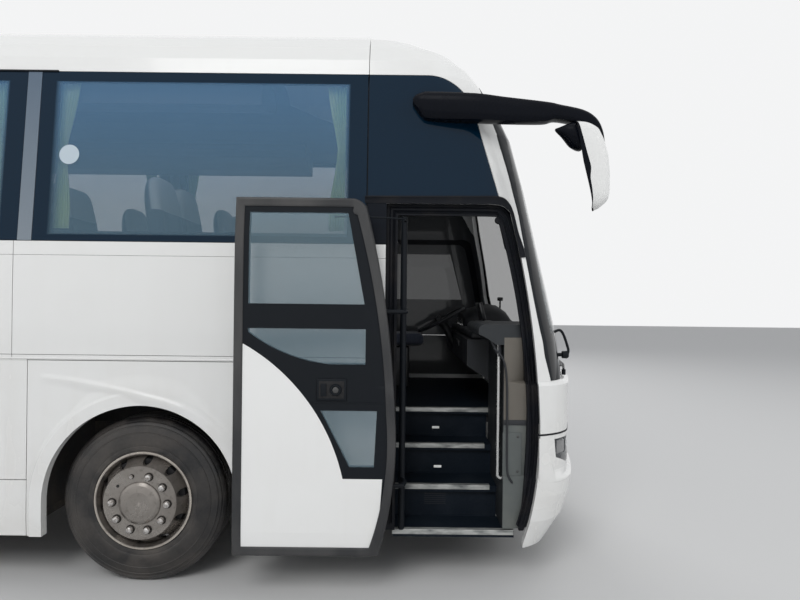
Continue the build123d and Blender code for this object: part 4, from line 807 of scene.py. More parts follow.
def bent_tube(name, points, radius, finish, body):
    """A tube along smooth bends through control points."""
    line = bpy.data.curves.new(name, "CURVE")
    line.dimensions = "3D"
    line.bevel_depth = radius
    line.bevel_resolution = 4
    line.use_fill_caps = True
    spline = line.splines.new("NURBS")
    spline.points.add(len(points) - 1)
    for point, place in zip(spline.points, points):
        point.co = (*place, 1)
    spline.order_u = 3
    spline.use_endpoint_u = True
    spline.resolution_u = 10
    data = evaluated(linked("carrier", line))
    data.name = name
    data.materials.clear()
    return add_piece(name, data, finish, body, 50)


CABLE = [(5.42, 0.008, 1.46), (5.475, 0.008, 1.42), (5.505, 0.009, 1.30), (5.508, 0.009, 1.0),
         (5.508, 0.009, 0.72), (5.52, 0.008, 0.66), (5.545, 0.003, 0.63)]
bent_tube("rail_cable", [(x, LINING_Y - out, z) for x, out, z in CABLE], 0.0065, dash_dark, "root")
RAIL_X, RAIL_Y = 5.463, -1.165
GRAB = [(RAIL_X, RAIL_Y, 1.403), (5.440, RAIL_Y, 1.45), (5.410, RAIL_Y, 1.51), (5.379, RAIL_Y, 1.559),
        (5.372, -1.150, 1.562)]
bent_tube("dash_grab", GRAB, 0.011, dash_dark, "root")
lathe("rail_sleeve", [(0, 0.0142), (0, 0.0157), (0.074, 0.0157), (0.074, 0.0142)], (RAIL_X, RAIL_Y, 1.404), 1,
      dash_dark, "root", 24, "Z")

# Dash top pad, the binnacle over the wheel with its dials, the switch panels and the till stand.
cushioned_block("dash_pad", (5.36, -0.54, 1.4695), (5.80, 1.10, 1.53), 0.018, dash_dark, "root")
points, faces = rounded_body([((x, 0.60, 1.50 + 0.5 * h), (0, w, 0), (0, 0, h)) for x, w, h in
                              [(5.395, 0.25, 0.06), (5.40, 0.30, 0.09), (5.44, 0.33, 0.115),
                               (5.55, 0.34, 0.135), (5.64, 0.34, 0.148), (5.70, 0.34, 0.142),
                               (5.77, 0.33, 0.11), (5.82, 0.30, 0.06), (5.84, 0.24, 0.03)]], 36, 3)
add_mesh("binnacle", points, faces, dash_dark, "root")
dial_face = Finish("dial_face", (0.012, 0.013, 0.015), 0.3, Coat_Weight=0.6)
dial_face.uneven(90, 0.25, 0.4)
dial_ring = Finish("dial_ring", (0.5, 0.5, 0.5), 0.25, Metallic=0.9)
dial_ring.uneven(90, 0.2, 0.35)
for number, (dy, r) in enumerate(((-0.19, 0.055), (0.19, 0.055), (-0.07, 0.035), (0.07, 0.035))):
    centre = (5.397, 0.64 + dy, 1.535)
    lathe(f"dial_{number}", [(0, 0), (0.003, 0), (0.003, r - 0.004), (0, r - 0.004)], centre, -1, dial_face,
          "root", 40, "X")
    lathe(f"dial_rim_{number}", [(0, r - 0.004), (0.006, r - 0.003), (0.006, r), (0, r + 0.001)], centre, -1,
          dial_ring, "root", 40, "X")
for number in range(7):
    y = number * 0.035
    cushioned_block(f"dash_switch_{number}", (5.322, 0.02 + y, 1.38), (5.334, 0.046 + y, 1.425), 0.003,
                    dial_face, "root")
cushioned_block("holder_stem", (5.751, 0.592, 1.66), (5.765, 0.608, 1.76), 0.004, dash_dark, "root")
cushioned_block("holder_head", (5.736, 0.572, 1.752), (5.780, 0.628, 1.785), 0.006, dash_dark, "root")
cushioned_block("till_stand", (5.42, -0.42, 1.52), (5.55, -0.25, 1.60), 0.012, dash_dark, "root")
cushioned_block("till_screen", (5.44, -0.44, 1.60), (5.47, -0.23, 1.74), 0.008, dial_face, "root",
                Matrix.Rotation(radians(-14), 4, "Y"))
cushioned_block("wheel_hub_pad", (5.165, 0.59, 1.545), (5.225, 0.69, 1.605), 0.014, dash_dark,
                "steering_wheel", Matrix.Rotation(radians(-28), 4, "Y"))

# Front door leaf
# An aluminium frame bonded to glass that is printed black round its edge, with a white sweep panel low
# down. A broad satin rubber profile runs right round it, and a recessed handle with a round lock sits
# in the black band. It hangs from two goosenecks and a thin upper stay on one column.
dress(frame_black, "front_door_frame", "front_door_arms", "mid_door_arms")
door_glass = Finish("door_glass", (0.16, 0.25, 0.30), 0.02, Alpha=0.34, IOR=1.5)
door_glass.uneven(3, 0.015, 0.05, top=0.8)
dress(door_glass, "front_door_glass")
mid_glass = Finish("mid_door_pane", (0.03, 0.05, 0.07), 0.03, Alpha=0.6, IOR=1.5)
mid_glass.uneven(3, 0.015, 0.05, top=0.8)
dress(mid_glass, "mid_door_glass")
rubber = Finish("door_rubber", (0.035, 0.035, 0.035), 0.42)
chalk = rubber.between(rubber.noise(5, 6, rubber.stretched((1, 1, 0.3))), 0.4, 0.75)
rubber.set(Base_Color=rubber.mixed(chalk, (0.024, 0.025, 0.027), (0.070, 0.069, 0.068)),
           Roughness=0.30 + chalk * 0.25)
rubber.bump(rubber.noise(160, 3), 0.0003, 0.5)
NOSE_FRONTS = [(0.24, 1.266, 5.935), (0.41, 1.275, 6.049), (0.56, 1.275, 6.098), (0.655, 1.275, 6.112),
               (0.675, 1.275, 6.082), (1.235, 1.275, 6.088), (1.255, 1.275, 6.04), (1.5, 1.275, 6.005),
               (1.8, 1.275, 5.938), (2.09, 1.27, 5.868), (2.5, 1.231, 5.768), (2.8, 1.203, 5.682),
               (2.95, 1.189, 5.608), (3.15, 1.17, 5.48)]


def nose_row(z):
    """Half width and front end of the nose at a height."""
    for (low, ha, fa), (high, hb, fb) in zip(NOSE_FRONTS, NOSE_FRONTS[1:]):
        if z <= high:
            t = max((z - low) / (high - low), 0)
            return ha + (hb - ha) * t, fa + (fb - fa) * t
    return NOSE_FRONTS[-1][1:]


def nose_side_y(x, z, out=0):
    """Distance of the skin from the centre line on the flank and round the front corner."""
    half, front = nose_row(z)
    reach = sqrt((BULGE - CORNER) ** 2 - (half - CORNER) ** 2)
    cx, cy = front + reach - BULGE, half - CORNER
    if x <= cx:
        return half + out
    return cy + sqrt(max((CORNER + out) ** 2 - (x - cx) ** 2, 0))


def nose_front_x(y, z, out=0):
    """How far ahead the nose's face is at a distance from the centre line."""
    return nose_row(z)[1] - BULGE + sqrt((BULGE + out) ** 2 - y * y)


def arc_through(a, b, c, count):
    """Points of the arc from a through b to c, without its last."""
    ax, ay, bx, by, cx, cy = *a, *b, *c
    d = 2 * (ax * (by - cy) + bx * (cy - ay) + cx * (ay - by))
    ux = ((ax**2 + ay**2) * (by - cy) + (bx**2 + by**2) * (cy - ay) + (cx**2 + cy**2) * (ay - by)) / d
    uy = ((ax**2 + ay**2) * (cx - bx) + (bx**2 + by**2) * (ax - cx) + (cx**2 + cy**2) * (bx - ax)) / d
    start, middle, end = (atan2(q[1] - uy, q[0] - ux) for q in (a, b, c))
    turn = (end - start) % (2 * pi)
    if (middle - start) % (2 * pi) > turn:
        turn -= 2 * pi
    r = hypot(ax - ux, ay - uy)
    turns = [start + turn * i / count for i in range(count)]
    return [(ux + r * cos(t), uy + r * sin(t)) for t in turns]


def leaf_line(inset):
    """The leaf's outline shut in its doorway, moved in all round, as (x, z) points."""
    low, top, rear = 0.276 + inset, 2.335 - inset, 4.76 + inset
    f = -inset
    line = [(rear, low + (top - low) * i / 30) for i in range(30)]
    line += [(rear + (5.44 - rear) * i / 12, top) for i in range(12)]
    line += arc_through((5.44, top), (5.485 + f, top - 0.018), (5.512 + f, top - 0.045), 8)
    line += arc_through((5.512 + f, top - 0.045), (5.63 + f, 1.7), (5.69 + f, 1.08), 36)
    line += arc_through((5.69 + f, 1.08), (5.676 + f, 0.64), (5.598 + f, low), 26)
    line += [(5.598 + f + (rear - 5.598 - f) * i / 14, low) for i in range(14)]
    return line


# At rest the leaf stands this far behind its shut place, and this far out from it.
OPEN_BACK, OPEN_OUT = 0.87, 0.2
# The rubber's section: distance in from the leaf's edge, distance out from the skin.
RUBBER_SECTION = [(0.052, 0.0008), (0.0515, 0.0045), (0.046, 0.008), (0.036, 0.0095), (0.026, 0.0095),
                  (0.016, 0.013), (0.0085, 0.0125), (0.003, 0.009), (0.0003, 0.003),
                  (-0.0008, -0.010), (-0.0008, -0.032), (0.002, -0.041), (0.010, -0.0445), (0.046, -0.0445),
                  (0.048, -0.0402)]
lines = [leaf_line(inset) for inset, _ in RUBBER_SECTION]
points = [(line[i][0] - OPEN_BACK, -nose_side_y(*line[i], out) - OPEN_OUT, line[i][1])
          for i in range(len(lines[0])) for line, (_, out) in zip(lines, RUBBER_SECTION)]
faces = []
for i in range(len(lines[0])):
    here, after = i * len(lines), (i + 1) % len(lines[0]) * len(lines)
    faces += [(here + j, here + j + 1, after + j + 1, after + j) for j in range(len(lines) - 1)]
add_mesh("leaf_rubber", points, faces, rubber, "front_door_leaf", 50)
LEAF_Y = -1.475
cushioned_block("handle_bezel", (4.368, LEAF_Y - 0.007, 1.168), (4.541, LEAF_Y + 0.002, 1.296), 0.006,
                frame_black, "front_door_leaf")
# A near-black for hollows. It is painted shade in the louvre openings, the fan wells, on the front drums and
# in the missing nut's hole; in the handle dishes it is partly their own black and partly painted shade.
hollow_shade = Finish("hollow_shade_black", (0.006, 0.006, 0.007), 0.7)
hollow_shade.uneven(50, 0.6, 0.8)
cushioned_block("handle_dish", (4.381, LEAF_Y - 0.0078, 1.182), (4.528, LEAF_Y - 0.003, 1.283), 0.003, hollow_shade,
                "front_door_leaf")
cushioned_block("handle_flap", (4.392, LEAF_Y - 0.013, 1.195), (4.425, LEAF_Y - 0.005, 1.268), 0.004,
                frame_black, "front_door_leaf")
LOCK = (4.478, LEAF_Y - 0.007, 1.232)
LOCK_RING = [(0, 0.018), (0.008, 0.020), (0.011, 0.024), (0.010, 0.030), (0.004, 0.034), (0, 0.035)]
lathe("handle_lock_ring", LOCK_RING, LOCK, -1, frame_black, "front_door_leaf", 48)
lathe("handle_lock", [(0, 0), (0, 0.018), (0.009, 0.0175), (0.0105, 0.015), (0.0105, 0)], LOCK, -1,
      screw_steel, "front_door_leaf", 40)
run_profile("leaf_joint", [(0, 0), (-0.002, 0.0005), (-0.0025, 0.003), (-0.002, 0.0055), (0, 0.006)],
            4.338, 4.745, frame_black, "front_door_leaf", lambda x, a, b: (x, LEAF_Y + a - 0.0003, 1.154 + b))
# The stay runs level from the column to the leaf's pivot.
STAY = [(4.862, -1.183), (4.880, -1.248), (4.842, -1.333), (4.600, -1.387), (4.450, -1.383)]
bent_tube("upper_stay", [(x, y, 2.236) for x, y in STAY], 0.0055, frame_black, "front_door_arm")

# Door jambs
# Black rubber over a steel frame, with ribs that the leaf presses into, a drip moulding over the doorway
# and a seal inside the driver's quarter panel on the other side.
jamb_rubber = Finish("jamb_rubber", (0.008, 0.009, 0.011), 0.5, Specular_IOR_Level=0.16)
jamb_dust = jamb_rubber.between(jamb_rubber.noise(6, 5), 0.5, 0.8)
jamb_rubber.set(Base_Color=jamb_rubber.mixed(jamb_dust, (0.008, 0.009, 0.012), (0.024, 0.022, 0.021)))
jamb_rubber.bump(jamb_rubber.noise(160, 3), 0.0003, 0.5)
dress(jamb_rubber, "door_jambs")


def ridge(path, way, edge, crest):
    """A strip between two outlines: its edges stand off the skin by one depth, its middle by another."""
    points = []
    for p, q in path:
        for x, z, out in ((*p, edge), ((p[0] + q[0]) / 2, (p[1] + q[1]) / 2, crest), (*q, edge)):
            points.append((x, way * nose_side_y(x, z, out), z))
    return points


rib_lines = [leaf_line(inset) for inset in (0.010, 0.020, 0.030, 0.040, 0.052)]
for number, (a, b) in enumerate(((0, 1), (2, 3), (3, 4))):
    first, last = rib_lines[a], rib_lines[b]
    path = [(p, q) for p, q in zip(first, last) if p[1] > 0.36]
    add_mesh(f"jamb_rib_{number}", ridge(path, -1, -0.0395, -0.032), grid_faces(len(path), 3), jamb_rubber,
             "root", 30)


def eased(rows, steps):
    """Rows of numbers with more rows between them on a smooth curve through all of them."""
    made = []
    for i in range(len(rows) - 1):
        before, start, end, after = rows[max(i - 1, 0)], rows[i], rows[i + 1], rows[min(i + 2, len(rows) - 1)]
        for k in range(steps):
            t = k / steps
            row = []
            for a, b, c, d in zip(before, start, end, after):
                value = 2 * b + (c - a) * t
                value += (2 * a - 5 * b + 4 * c - d) * t * t
                value += (3 * b - a - 3 * c + d) * t**3
                row.append(0.5 * value)
            made.append(row)
    return made + [list(rows[-1])]


# A black drip moulding over the doorway, bent down at its front corner and tapered along the pillar.
DRIP_INNER = [(4.620, 2.340), (5.000, 2.340), (5.300, 2.340), (5.443, 2.340), (5.487, 2.321), (5.516, 2.288),
              (5.541, 2.179), (5.558, 2.103), (5.569, 2.051), (5.577, 2.017)]
DRIP_OUTER = [(4.620, 2.384), (5.000, 2.387), (5.300, 2.390), (5.445, 2.391), (5.503, 2.360), (5.536, 2.297),
              (5.563, 2.184), (5.590, 2.106), (5.609, 2.052), (5.612, 2.022)]
rows = eased([(*a, *b) for a, b in zip(DRIP_INNER, DRIP_OUTER)], 4)
points = []
for xa, za, xb, zb in rows:
    for share, out in ((0, -0.002), (0, 0.003), (0.35, 0.005), (0.65, 0.007), (0.85, 0.013), (1, 0.011),
                       (1, -0.002)):
        px, pz = xa + (xb - xa) * share, za + (zb - za) * share
        points.append((px, -nose_side_y(px, pz, out), pz))
faces = grid_faces(len(rows), 7) + end_faces(len(rows), 7)
add_mesh("drip_moulding", points, faces, jamb_rubber, "root", 40)

# A rubber seal closes the seam round the driver's quarter panel from inside.
seal_rows = [(p, q) for p, q in zip(leaf_line(0.02), leaf_line(-0.03)) if p[1] > 1.3 and p[0] > 4.8]
add_mesh("quarter_seal", ridge(seal_rows, 1, -0.044, -0.042), grid_faces(len(seal_rows), 3), jamb_rubber,
         "root", 40)

# Windscreen
# One bonded sheet with a black printed border. A black edge trim laps from it onto the white pillars.
# The two wipers park along its lower edge; their bent heads and round bosses are added here.
screen_glass = Finish("screen_glass", (0.025, 0.045, 0.055), 0.02, IOR=1.52, Specular_IOR_Level=0.25)
sideways = abs(screen_glass.axis("Y"))
height = screen_glass.axis("Z")
half_screen = 1.195 + screen_glass.between(height, 1.262, 1.8, 0, 0.010)
half_screen = half_screen - screen_glass.between(height, 1.8, 2.45, 0, 0.085)
half_screen = half_screen - screen_glass.between(height, 2.45, 3.04, 0, 0.135)
low_print = 1.35 + screen_glass.between(sideways, 0.75, 1.02, 0, 0.20)
printed = screen_glass.highest(
    screen_glass.between(sideways - half_screen, -0.080, -0.070),
    screen_glass.between(height - low_print, -0.005, 0.005, 1, 0),
    screen_glass.between(height, 2.84, 2.86))
screen_glass.set(Base_Color=screen_glass.mixed(printed, (0.025, 0.045, 0.055), (0.008, 0.009, 0.011)),
                 Alpha=0.42 + printed * 0.58)
dress(screen_glass, "windscreen")
dress(frame_black, "wipers")


def nose_x(y, z, out=0):
    """How far ahead the nose's skin is at a distance from the centre line, on its face or its corner."""
    half, front = nose_row(z)
    cy = half - CORNER
    if y < cy + CORNER * cy / (BULGE - CORNER):
        return nose_front_x(y, z, out)
    cx = front + sqrt((BULGE - CORNER) ** 2 - cy**2) - BULGE
    return cx + sqrt(max((CORNER + out) ** 2 - (y - cy) ** 2, 0))


# The trim at each height: its edge on the white pillar and its edge on the glass, from the centre line.
TRIM_EDGES = [(1.262, 1.197, 1.185), (1.41, 1.214, 1.190), (1.65, 1.216, 1.195), (1.8, 1.214, 1.200),
              (2.05, 1.203, 1.170), (2.294, 1.168, 1.137),
              (2.45, 1.160, 1.114), (2.604, 1.147, 1.081), (2.781, 1.138, 1.041), (2.888, 1.116, 1.016),
              (3.04, 1.055, 0.980), (3.105, 1.015, 0.895), (3.15, 0.96, 0.94)]


def trim_edge(z, column):
    """One edge of the trim at a height."""
    for low, high in zip(TRIM_EDGES, TRIM_EDGES[1:]):
        if z <= high[0]:
            return low[column] + (high[column] - low[column]) * (z - low[0]) / (high[0] - low[0])
    return TRIM_EDGES[-1][column]


for side, name in SIDES:
    points = []
    for i in range(80):
        z = TRIM_EDGES[0][0] + (TRIM_EDGES[-1][0] - TRIM_EDGES[0][0]) * i / 79
        outer, inner = trim_edge(z, 1), trim_edge(z, 2)
        for j in range(10):
            y = outer + (inner - outer) * j / 9
            out = -0.001 if j in (0, 9) else 0.0022
            points.append((nose_x(y, z, out), side * y, z))
    add_mesh(f"screen_trim_{name}", points, grid_faces(80, 10), frame_black, "root", 60)

WIPER_Y = 0.90
for side, name in SIDES:
    head = [(5.960, 1.395), (5.972, 1.42), (5.960, 1.46), (5.940, 1.52), (5.920, 1.558), (5.896, 1.562),
            (5.874, 1.548)]
    bent_tube(f"wiper_head_{name}", [(x, side * WIPER_Y, z) for x, z in head], 0.009, frame_black, "root")
    boss = [(0, 0), (0, 0.012), (0.034, 0.012), (0.038, 0.024), (0.068, 0.026), (0.078, 0.020), (0.082, 0)]
    lathe(f"wiper_boss_{name}", boss, (5.889, side * WIPER_Y, 1.397), 1, frame_black, "root", 32, "X")

# Lamps
# The headlamps are clear mouldings over dark housings, each with two round reflectors and a frosted
# indicator. The tail lamps are ribbed lenses in red, amber and clear bands in a black surround.
lamp_lens = Finish("lamp_lens", (0.85, 0.87, 0.88), 0.03, IOR=1.49)
tail_part = lamp_lens.axis("X") < 0
band_height = lamp_lens.axis("Z")
amber_band = (band_height > 1.17) * (band_height < 1.34)
clear_band = (band_height > 1.06) * (band_height < 1.17)
tail_colour = lamp_lens.mixed(amber_band, (0.42, 0.012, 0.014), (0.72, 0.26, 0.02))
tail_colour = lamp_lens.mixed(clear_band, tail_colour, (0.68, 0.68, 0.66))
seam = abs(lamp_lens.maths("FRACT", (band_height - 0.90) / 0.055, 0) - 0.5)
lamp_lens.set(Base_Color=lamp_lens.mixed(tail_part, (0.26, 0.28, 0.30), tail_colour),
              Roughness=0.03 + tail_part * 0.12, Alpha=0.20 + tail_part * 0.80)
lamp_lens.bump(lamp_lens.between(seam, 0.42, 0.5) * tail_part, 0.0015, 0.8)
dress(lamp_lens, "lamps")
reflector = Finish("lamp_reflector", (0.85, 0.86, 0.87), 0.08, Metallic=1.0)
reflector.uneven(60, 0.05, 0.14)
indicator_lens = Finish("indicator_lens", (0.30, 0.295, 0.29), 0.15)
indicator_lens.uneven(80, 0.1, 0.22)
BULB = [(-0.028, 0), (-0.028, 0.007), (-0.012, 0.007), (-0.007, 0.005), (-0.005, 0)]
BOWL = [(-0.030, 0), (-0.030, 0.012), (-0.026, 0.026), (-0.018, 0.040), (-0.004, 0.052), (0.0, 0.056),
        (0.003, 0.057), (0.003, 0.060), (-0.002, 0.060), (-0.008, 0.056), (-0.034, 0.030), (-0.036, 0)]
for side, name in SIDES:
    for number, (y, z, scale) in enumerate(((0.880, 0.832, 1.0), (1.010, 0.828, 0.92))):
        centre = (nose_x(y, z, -0.012) - 0.008, side * y, z)
        bowl = [(out * scale, r * scale) for out, r in BOWL]
        lathe(f"headlamp_bowl_{name}_{number}", bowl, centre, 1, reflector, "root", 56, "X")
        lathe(f"headlamp_bulb_{name}_{number}", BULB, centre, 1, lamp_white, "root", 24, "X")
    points = []
    for i in range(12):
        z = 0.800 + 0.085 * i / 11
        for j in range(10):
            y = 1.090 + 0.075 * j / 9
            points.append((nose_x(y, z, -0.009 - (0.012 if i in (0, 11) or j in (0, 9) else 0)), side * y, z))
    add_mesh(f"indicator_{name}", points, grid_faces(12, 10), indicator_lens, "root", 40)
    points = []
    for i in range(16):
        z = 0.745 + 0.150 * i / 15
        for j in range(24):
            y = 0.835 + 0.355 * j / 23
            points.append((nose_x(y, z, -0.036), side * y, z))
    add_mesh(f"headlamp_housing_{name}", points, grid_faces(16, 24), grille_black, "root", 40)


def tail_x(y, z, out=0):
    """How far back the tail's skin is at a distance from the centre line; the tail is upright this low."""
    half, rear, corner, bulge = 1.275, 6.1, 0.22, 5.2
    cy = half - corner
    if y < cy + corner * cy / (bulge - corner):
        return -(rear - bulge + sqrt((bulge + out) ** 2 - y * y))
    cx = rear - bulge + sqrt((bulge - corner) ** 2 - cy**2)
    return -(cx + sqrt(max((corner + out) ** 2 - (y - cy) ** 2, 0)))


def on_frame(outline, width, height, place):
    """A raised band round a four-cornered outline, as rows of points put into space by place(a, b, out)."""
    rows = []
    count = len(outline)
    for k in range(count):
        (a0, b0), (a1, b1) = outline[k], outline[(k + 1) % count]
        for i in range(16):
            t = i / 16
            rows.append((a0 + (a1 - a0) * t, b0 + (b1 - b0) * t))
    mid_a = sum(p[0] for p in outline) / count
    mid_b = sum(p[1] for p in outline) / count
    points = []
    for a, b in rows:
        for share, out in ((1, 0.0004), (1, height), (0.25, height * 1.3), (0, height), (0, 0.0004)):
            edge_a = 0 if abs(a - mid_a) < 1e-6 else (1 if a > mid_a else -1)
            edge_b = 0 if abs(b - mid_b) < 1e-6 else (1 if b > mid_b else -1)
            at_side = any(abs(a - p[0]) < 1e-6 for p in outline)
            at_end = any(abs(b - p[1]) < 1e-6 for p in outline)
            points.append(place(a + (edge_a * width * share if at_side else 0),
                                b + (edge_b * width * share if at_end else 0), out))
    last = (len(rows) - 1) * 5
    return points, grid_faces(len(rows), 5) + [(last + j, last + j + 1, j + 1, j) for j in range(4)]


for side, name in SIDES:
    outline = [(0.962, 0.902), (1.188, 0.902), (1.188, 1.558), (0.962, 1.558)]
    points, faces = on_frame(outline, 0.014, 0.006, lambda a, b, out, s=side: (tail_x(a, b, out), s * a, b))
    add_mesh(f"tail_lamp_frame_{name}", points, faces, frame_black, "root", 40)

# Grille, bumper and plates
# Black bars across the air intake, and blank white plates in black holders at both ends. A black gasket
# fills the bumper's top joint, and a white fillet eases its ledge on the cheeks.
grille_satin = Finish("grille_satin", (0.02, 0.021, 0.023), 0.42)
grille_satin.uneven(25, 0.35, 0.6, 4)
dress(grille_satin, "front_grille")
plate_white = Finish("plate_white", (0.72, 0.73, 0.72), 0.35)
plate_white.uneven(30, 0.3, 0.5, 4)
plate_white.bump(plate_white.noise(12, 2), 0.0006, 0.4)
dress(plate_white, "number_plates")
for name, x, way, low in (("front", 6.125, 1, 0.530), ("rear", -6.114, -1, 0.430)):
    outline = [(-0.254, low + 0.006), (0.254, low + 0.006), (0.254, low + 0.104), (-0.254, low + 0.104)]
    points, faces = on_frame(outline, 0.010, 0.004, lambda a, b, out, x=x, w=way: (x + w * out, a, b))
    add_mesh(f"plate_holder_{name}", points, faces, frame_black, "root", 40)

# Down here: half the face's width, and how far each corner's centre lies behind the nose's front.
FACE_Y, CORNER_BACK = 0.945, 0.4744
for side, name in SIDES:
    points = []
    for i in range(61):
        turn = radians(12 + 78 * min(i / 40, 1))
        y = FACE_Y + CORNER * cos(turn) if i <= 40 else FACE_Y * (1 - (i - 40) / 20)
        for z, out in ((0.9305, -0.002), (0.9315, 0.0012), (0.9425, 0.0012), (0.9435, -0.002)):
            points.append((nose_x(y, z, out), side * y, z))
    add_mesh(f"bumper_gasket_{name}", points, grid_faces(61, 4), jamb_rubber, "root", 40)
    points = []
    for i in range(33):
        t = i / 32
        top = 0.915 - 0.20 * smooth(t, 0.22, 0.45)
        fade = 1 - smooth(t, 0.5, 1)
        for j in range(17):
            z = 0.640 + (top - 0.640) * j / 16
            own = nose_row(z)[1]
            front = own + (6.112 - 0.030 * smooth(z, 0.650, top) - own) * fade
            first = asin((5.696 - front + CORNER_BACK) / CORNER)
            turn = first + (radians(62) - first) * t
            r = CORNER + (0.0012 if 0 < j < 16 and i < 32 else -0.001)
            points.append((front - CORNER_BACK + r * sin(turn), side * (FACE_Y + r * cos(turn)), z))
    add_mesh(f"bumper_fillet_{name}", points, grid_faces(33, 17), side_white, "root", 60)

# Tail
# The engine door has two banks of pressed white louvres, each over a near-black sheet that is painted shade
# for the opening behind it, and a recessed handle below them.
for bank, (y0, y1) in enumerate(((-0.78, -0.08), (0.08, 0.78))):
    places = [y0 - 0.01 + (y1 - y0 + 0.02) * j / 12 for j in range(13)]
    points = [(tail_x(abs(y), z, 0.0008), y, z) for z in (0.955, 1.475) for y in places]
    add_mesh(f"louvre_painted_shade_{bank}", points, grid_faces(2, 13), hollow_shade, "engine_door", 60)
    for slat in range(10):
        z = 0.975 + slat * 0.050
        points = []
        for j in range(13):
            y = y0 + (y1 - y0) * j / 12
            for out, rise in ((0.0012, 0), (0.011, 0.004), (0.0125, 0.010), (0.010, 0.020), (0.0012, 0.036)):
                points.append((tail_x(abs(y), z, out), y, z + rise))
        add_mesh(f"louvre_{bank}_{slat}", points, grid_faces(13, 5), side_white, "engine_door", 50)
cushioned_block("engine_door_dish", (-6.1035, -0.09, 0.70), (-6.0965, 0.09, 0.79), 0.003, hollow_shade,
                "engine_door")
cushioned_block("engine_door_pull", (-6.108, -0.07, 0.752), (-6.101, 0.07, 0.776), 0.003, frame_black,
                "engine_door")

# Roof
# The cooling unit's lid has two fans, each a ring with a boss, spokes and a wire guard over a well painted
# black as painted shade.
# Each hatch has a pressed panel with four ribs.
for number, x in enumerate((-1.15, -0.05)):
    ring = [(0, 0.245), (0.014, 0.248), (0.018, 0.258), (0.018, 0.268), (0.012, 0.276), (0, 0.280)]
    lathe(f"fan_ring_{number}", ring, (x, 0, 3.722), 1, frame_black, "root", 72, "Z")
    well = [(0.0005, 0), (0.002, 0), (0.002, 0.247), (0.0005, 0.247)]
    lathe(f"fan_well_painted_shade_{number}", well, (x, 0, 3.7295), 1, hollow_shade, "root", 64, "Z")
    boss = [(0, 0), (0, 0.06), (0.008, 0.058), (0.012, 0.05), (0.013, 0)]
    lathe(f"fan_boss_{number}", boss, (x, 0, 3.730), 1, frame_black, "root", 40, "Z")
    for wire, r in enumerate((0.10, 0.14, 0.18, 0.22)):
        guard = [(0.008, r - 0.002), (0.011, r - 0.002), (0.011, r + 0.002), (0.008, r + 0.002)]
        lathe(f"fan_guard_{number}_{wire}", guard, (x, 0, 3.730), 1, screw_steel, "root", 64, "Z")
    for spoke in range(6):
        turn = Matrix.Rotation(radians(60 * spoke), 4, "Z")
        cushioned_block(f"fan_spoke_{number}_{spoke}", (x - 0.25, -0.003, 3.7385), (x + 0.25, 0.003, 3.7425),
                        0.0012, screw_steel, "root", turn)
for name, x in (("front", 1.35), ("rear", -4.20)):
    cushioned_block(f"hatch_panel_{name}", (x + 0.08, -0.28, 3.5925), (x + 0.64, 0.28, 3.602), 0.0045,
                    side_white, f"roof_hatch_{name}")
    for rib in range(4):
        y = -0.21 + rib * 0.14
        cushioned_block(f"hatch_rib_{name}_{rib}", (x + 0.14, y - 0.012, 3.601),
                        (x + 0.58, y + 0.012, 3.606), 0.0024, side_white, f"roof_hatch_{name}")

# Mirrors
# Long gloss-black arms, blunt where they leave the dark corner panes, sweep ahead and bend down round
# the heads. Each head is a white shell with a black rim behind it and the mirror glass set in the rim.
arm_black = Finish("arm_black", (0.003, 0.004, 0.007), 0.22, Specular_IOR_Level=0.09)
arm_black.uneven(8, 0.16, 0.34, 4)
arm_black.bump(arm_black.noise(22, 3), 0.0003, 0.3)
# Arm stations from root to end: middle, lean of the cross-section in degrees, width, height.
ARM_STATIONS = [
    ((4.906, 1.180, 2.974), 0, 0.110, 0.034), ((4.924, 1.180, 2.971), 0, 0.130, 0.084),
    ((4.960, 1.182, 2.954), 0, 0.150, 0.144), ((5.015, 1.190, 2.943), 0, 0.150, 0.174),
    ((5.281, 1.248, 2.923), 3, 0.120, 0.166), ((5.450, 1.275, 2.903), 6, 0.106, 0.151),
    ((5.690, 1.312, 2.878), 10, 0.100, 0.124), ((5.765, 1.325, 2.874), 14, 0.098, 0.094),
    ((5.890, 1.345, 2.844), 26, 0.096, 0.088), ((5.962, 1.350, 2.811), 45, 0.094, 0.064),
    ((6.004, 1.352, 2.756), 68, 0.092, 0.036), ((6.023, 1.352, 2.690), 80, 0.088, 0.022),
]
# Head stations from the bottom up: height, the black rim's rear, the shell's rear, its front, half its width.
HEAD_STATIONS = [
    (2.297, 5.976, 5.980, 5.994, 0.070), (2.309, 5.973, 5.978, 6.008, 0.086),
    (2.331, 5.970, 5.976, 6.033, 0.098), (2.360, 5.963, 5.973, 6.050, 0.106),
    (2.407, 5.954, 5.966, 6.055, 0.111), (2.464, 5.941, 5.956, 6.056, 0.113),
    (2.524, 5.926, 5.958, 6.054, 0.113), (2.581, 5.912, 5.943, 6.048, 0.113),
    (2.611, 5.905, 5.934, 6.044, 0.113), (2.687, 5.892, 5.914, 6.023, 0.111),
    (2.730, 5.886, 5.903, 6.004, 0.107), (2.760, 5.882, 5.896, 5.987, 0.102),
    (2.785, 5.880, 5.889, 5.948, 0.090), (2.797, 5.879, 5.884, 5.915, 0.070),
]
# The head's middle from the centre line, how far it turns inboard, and how far back that brings it.
HEAD_Y, HEAD_TURN, HEAD_SET = 1.367, 0.34, 0.034


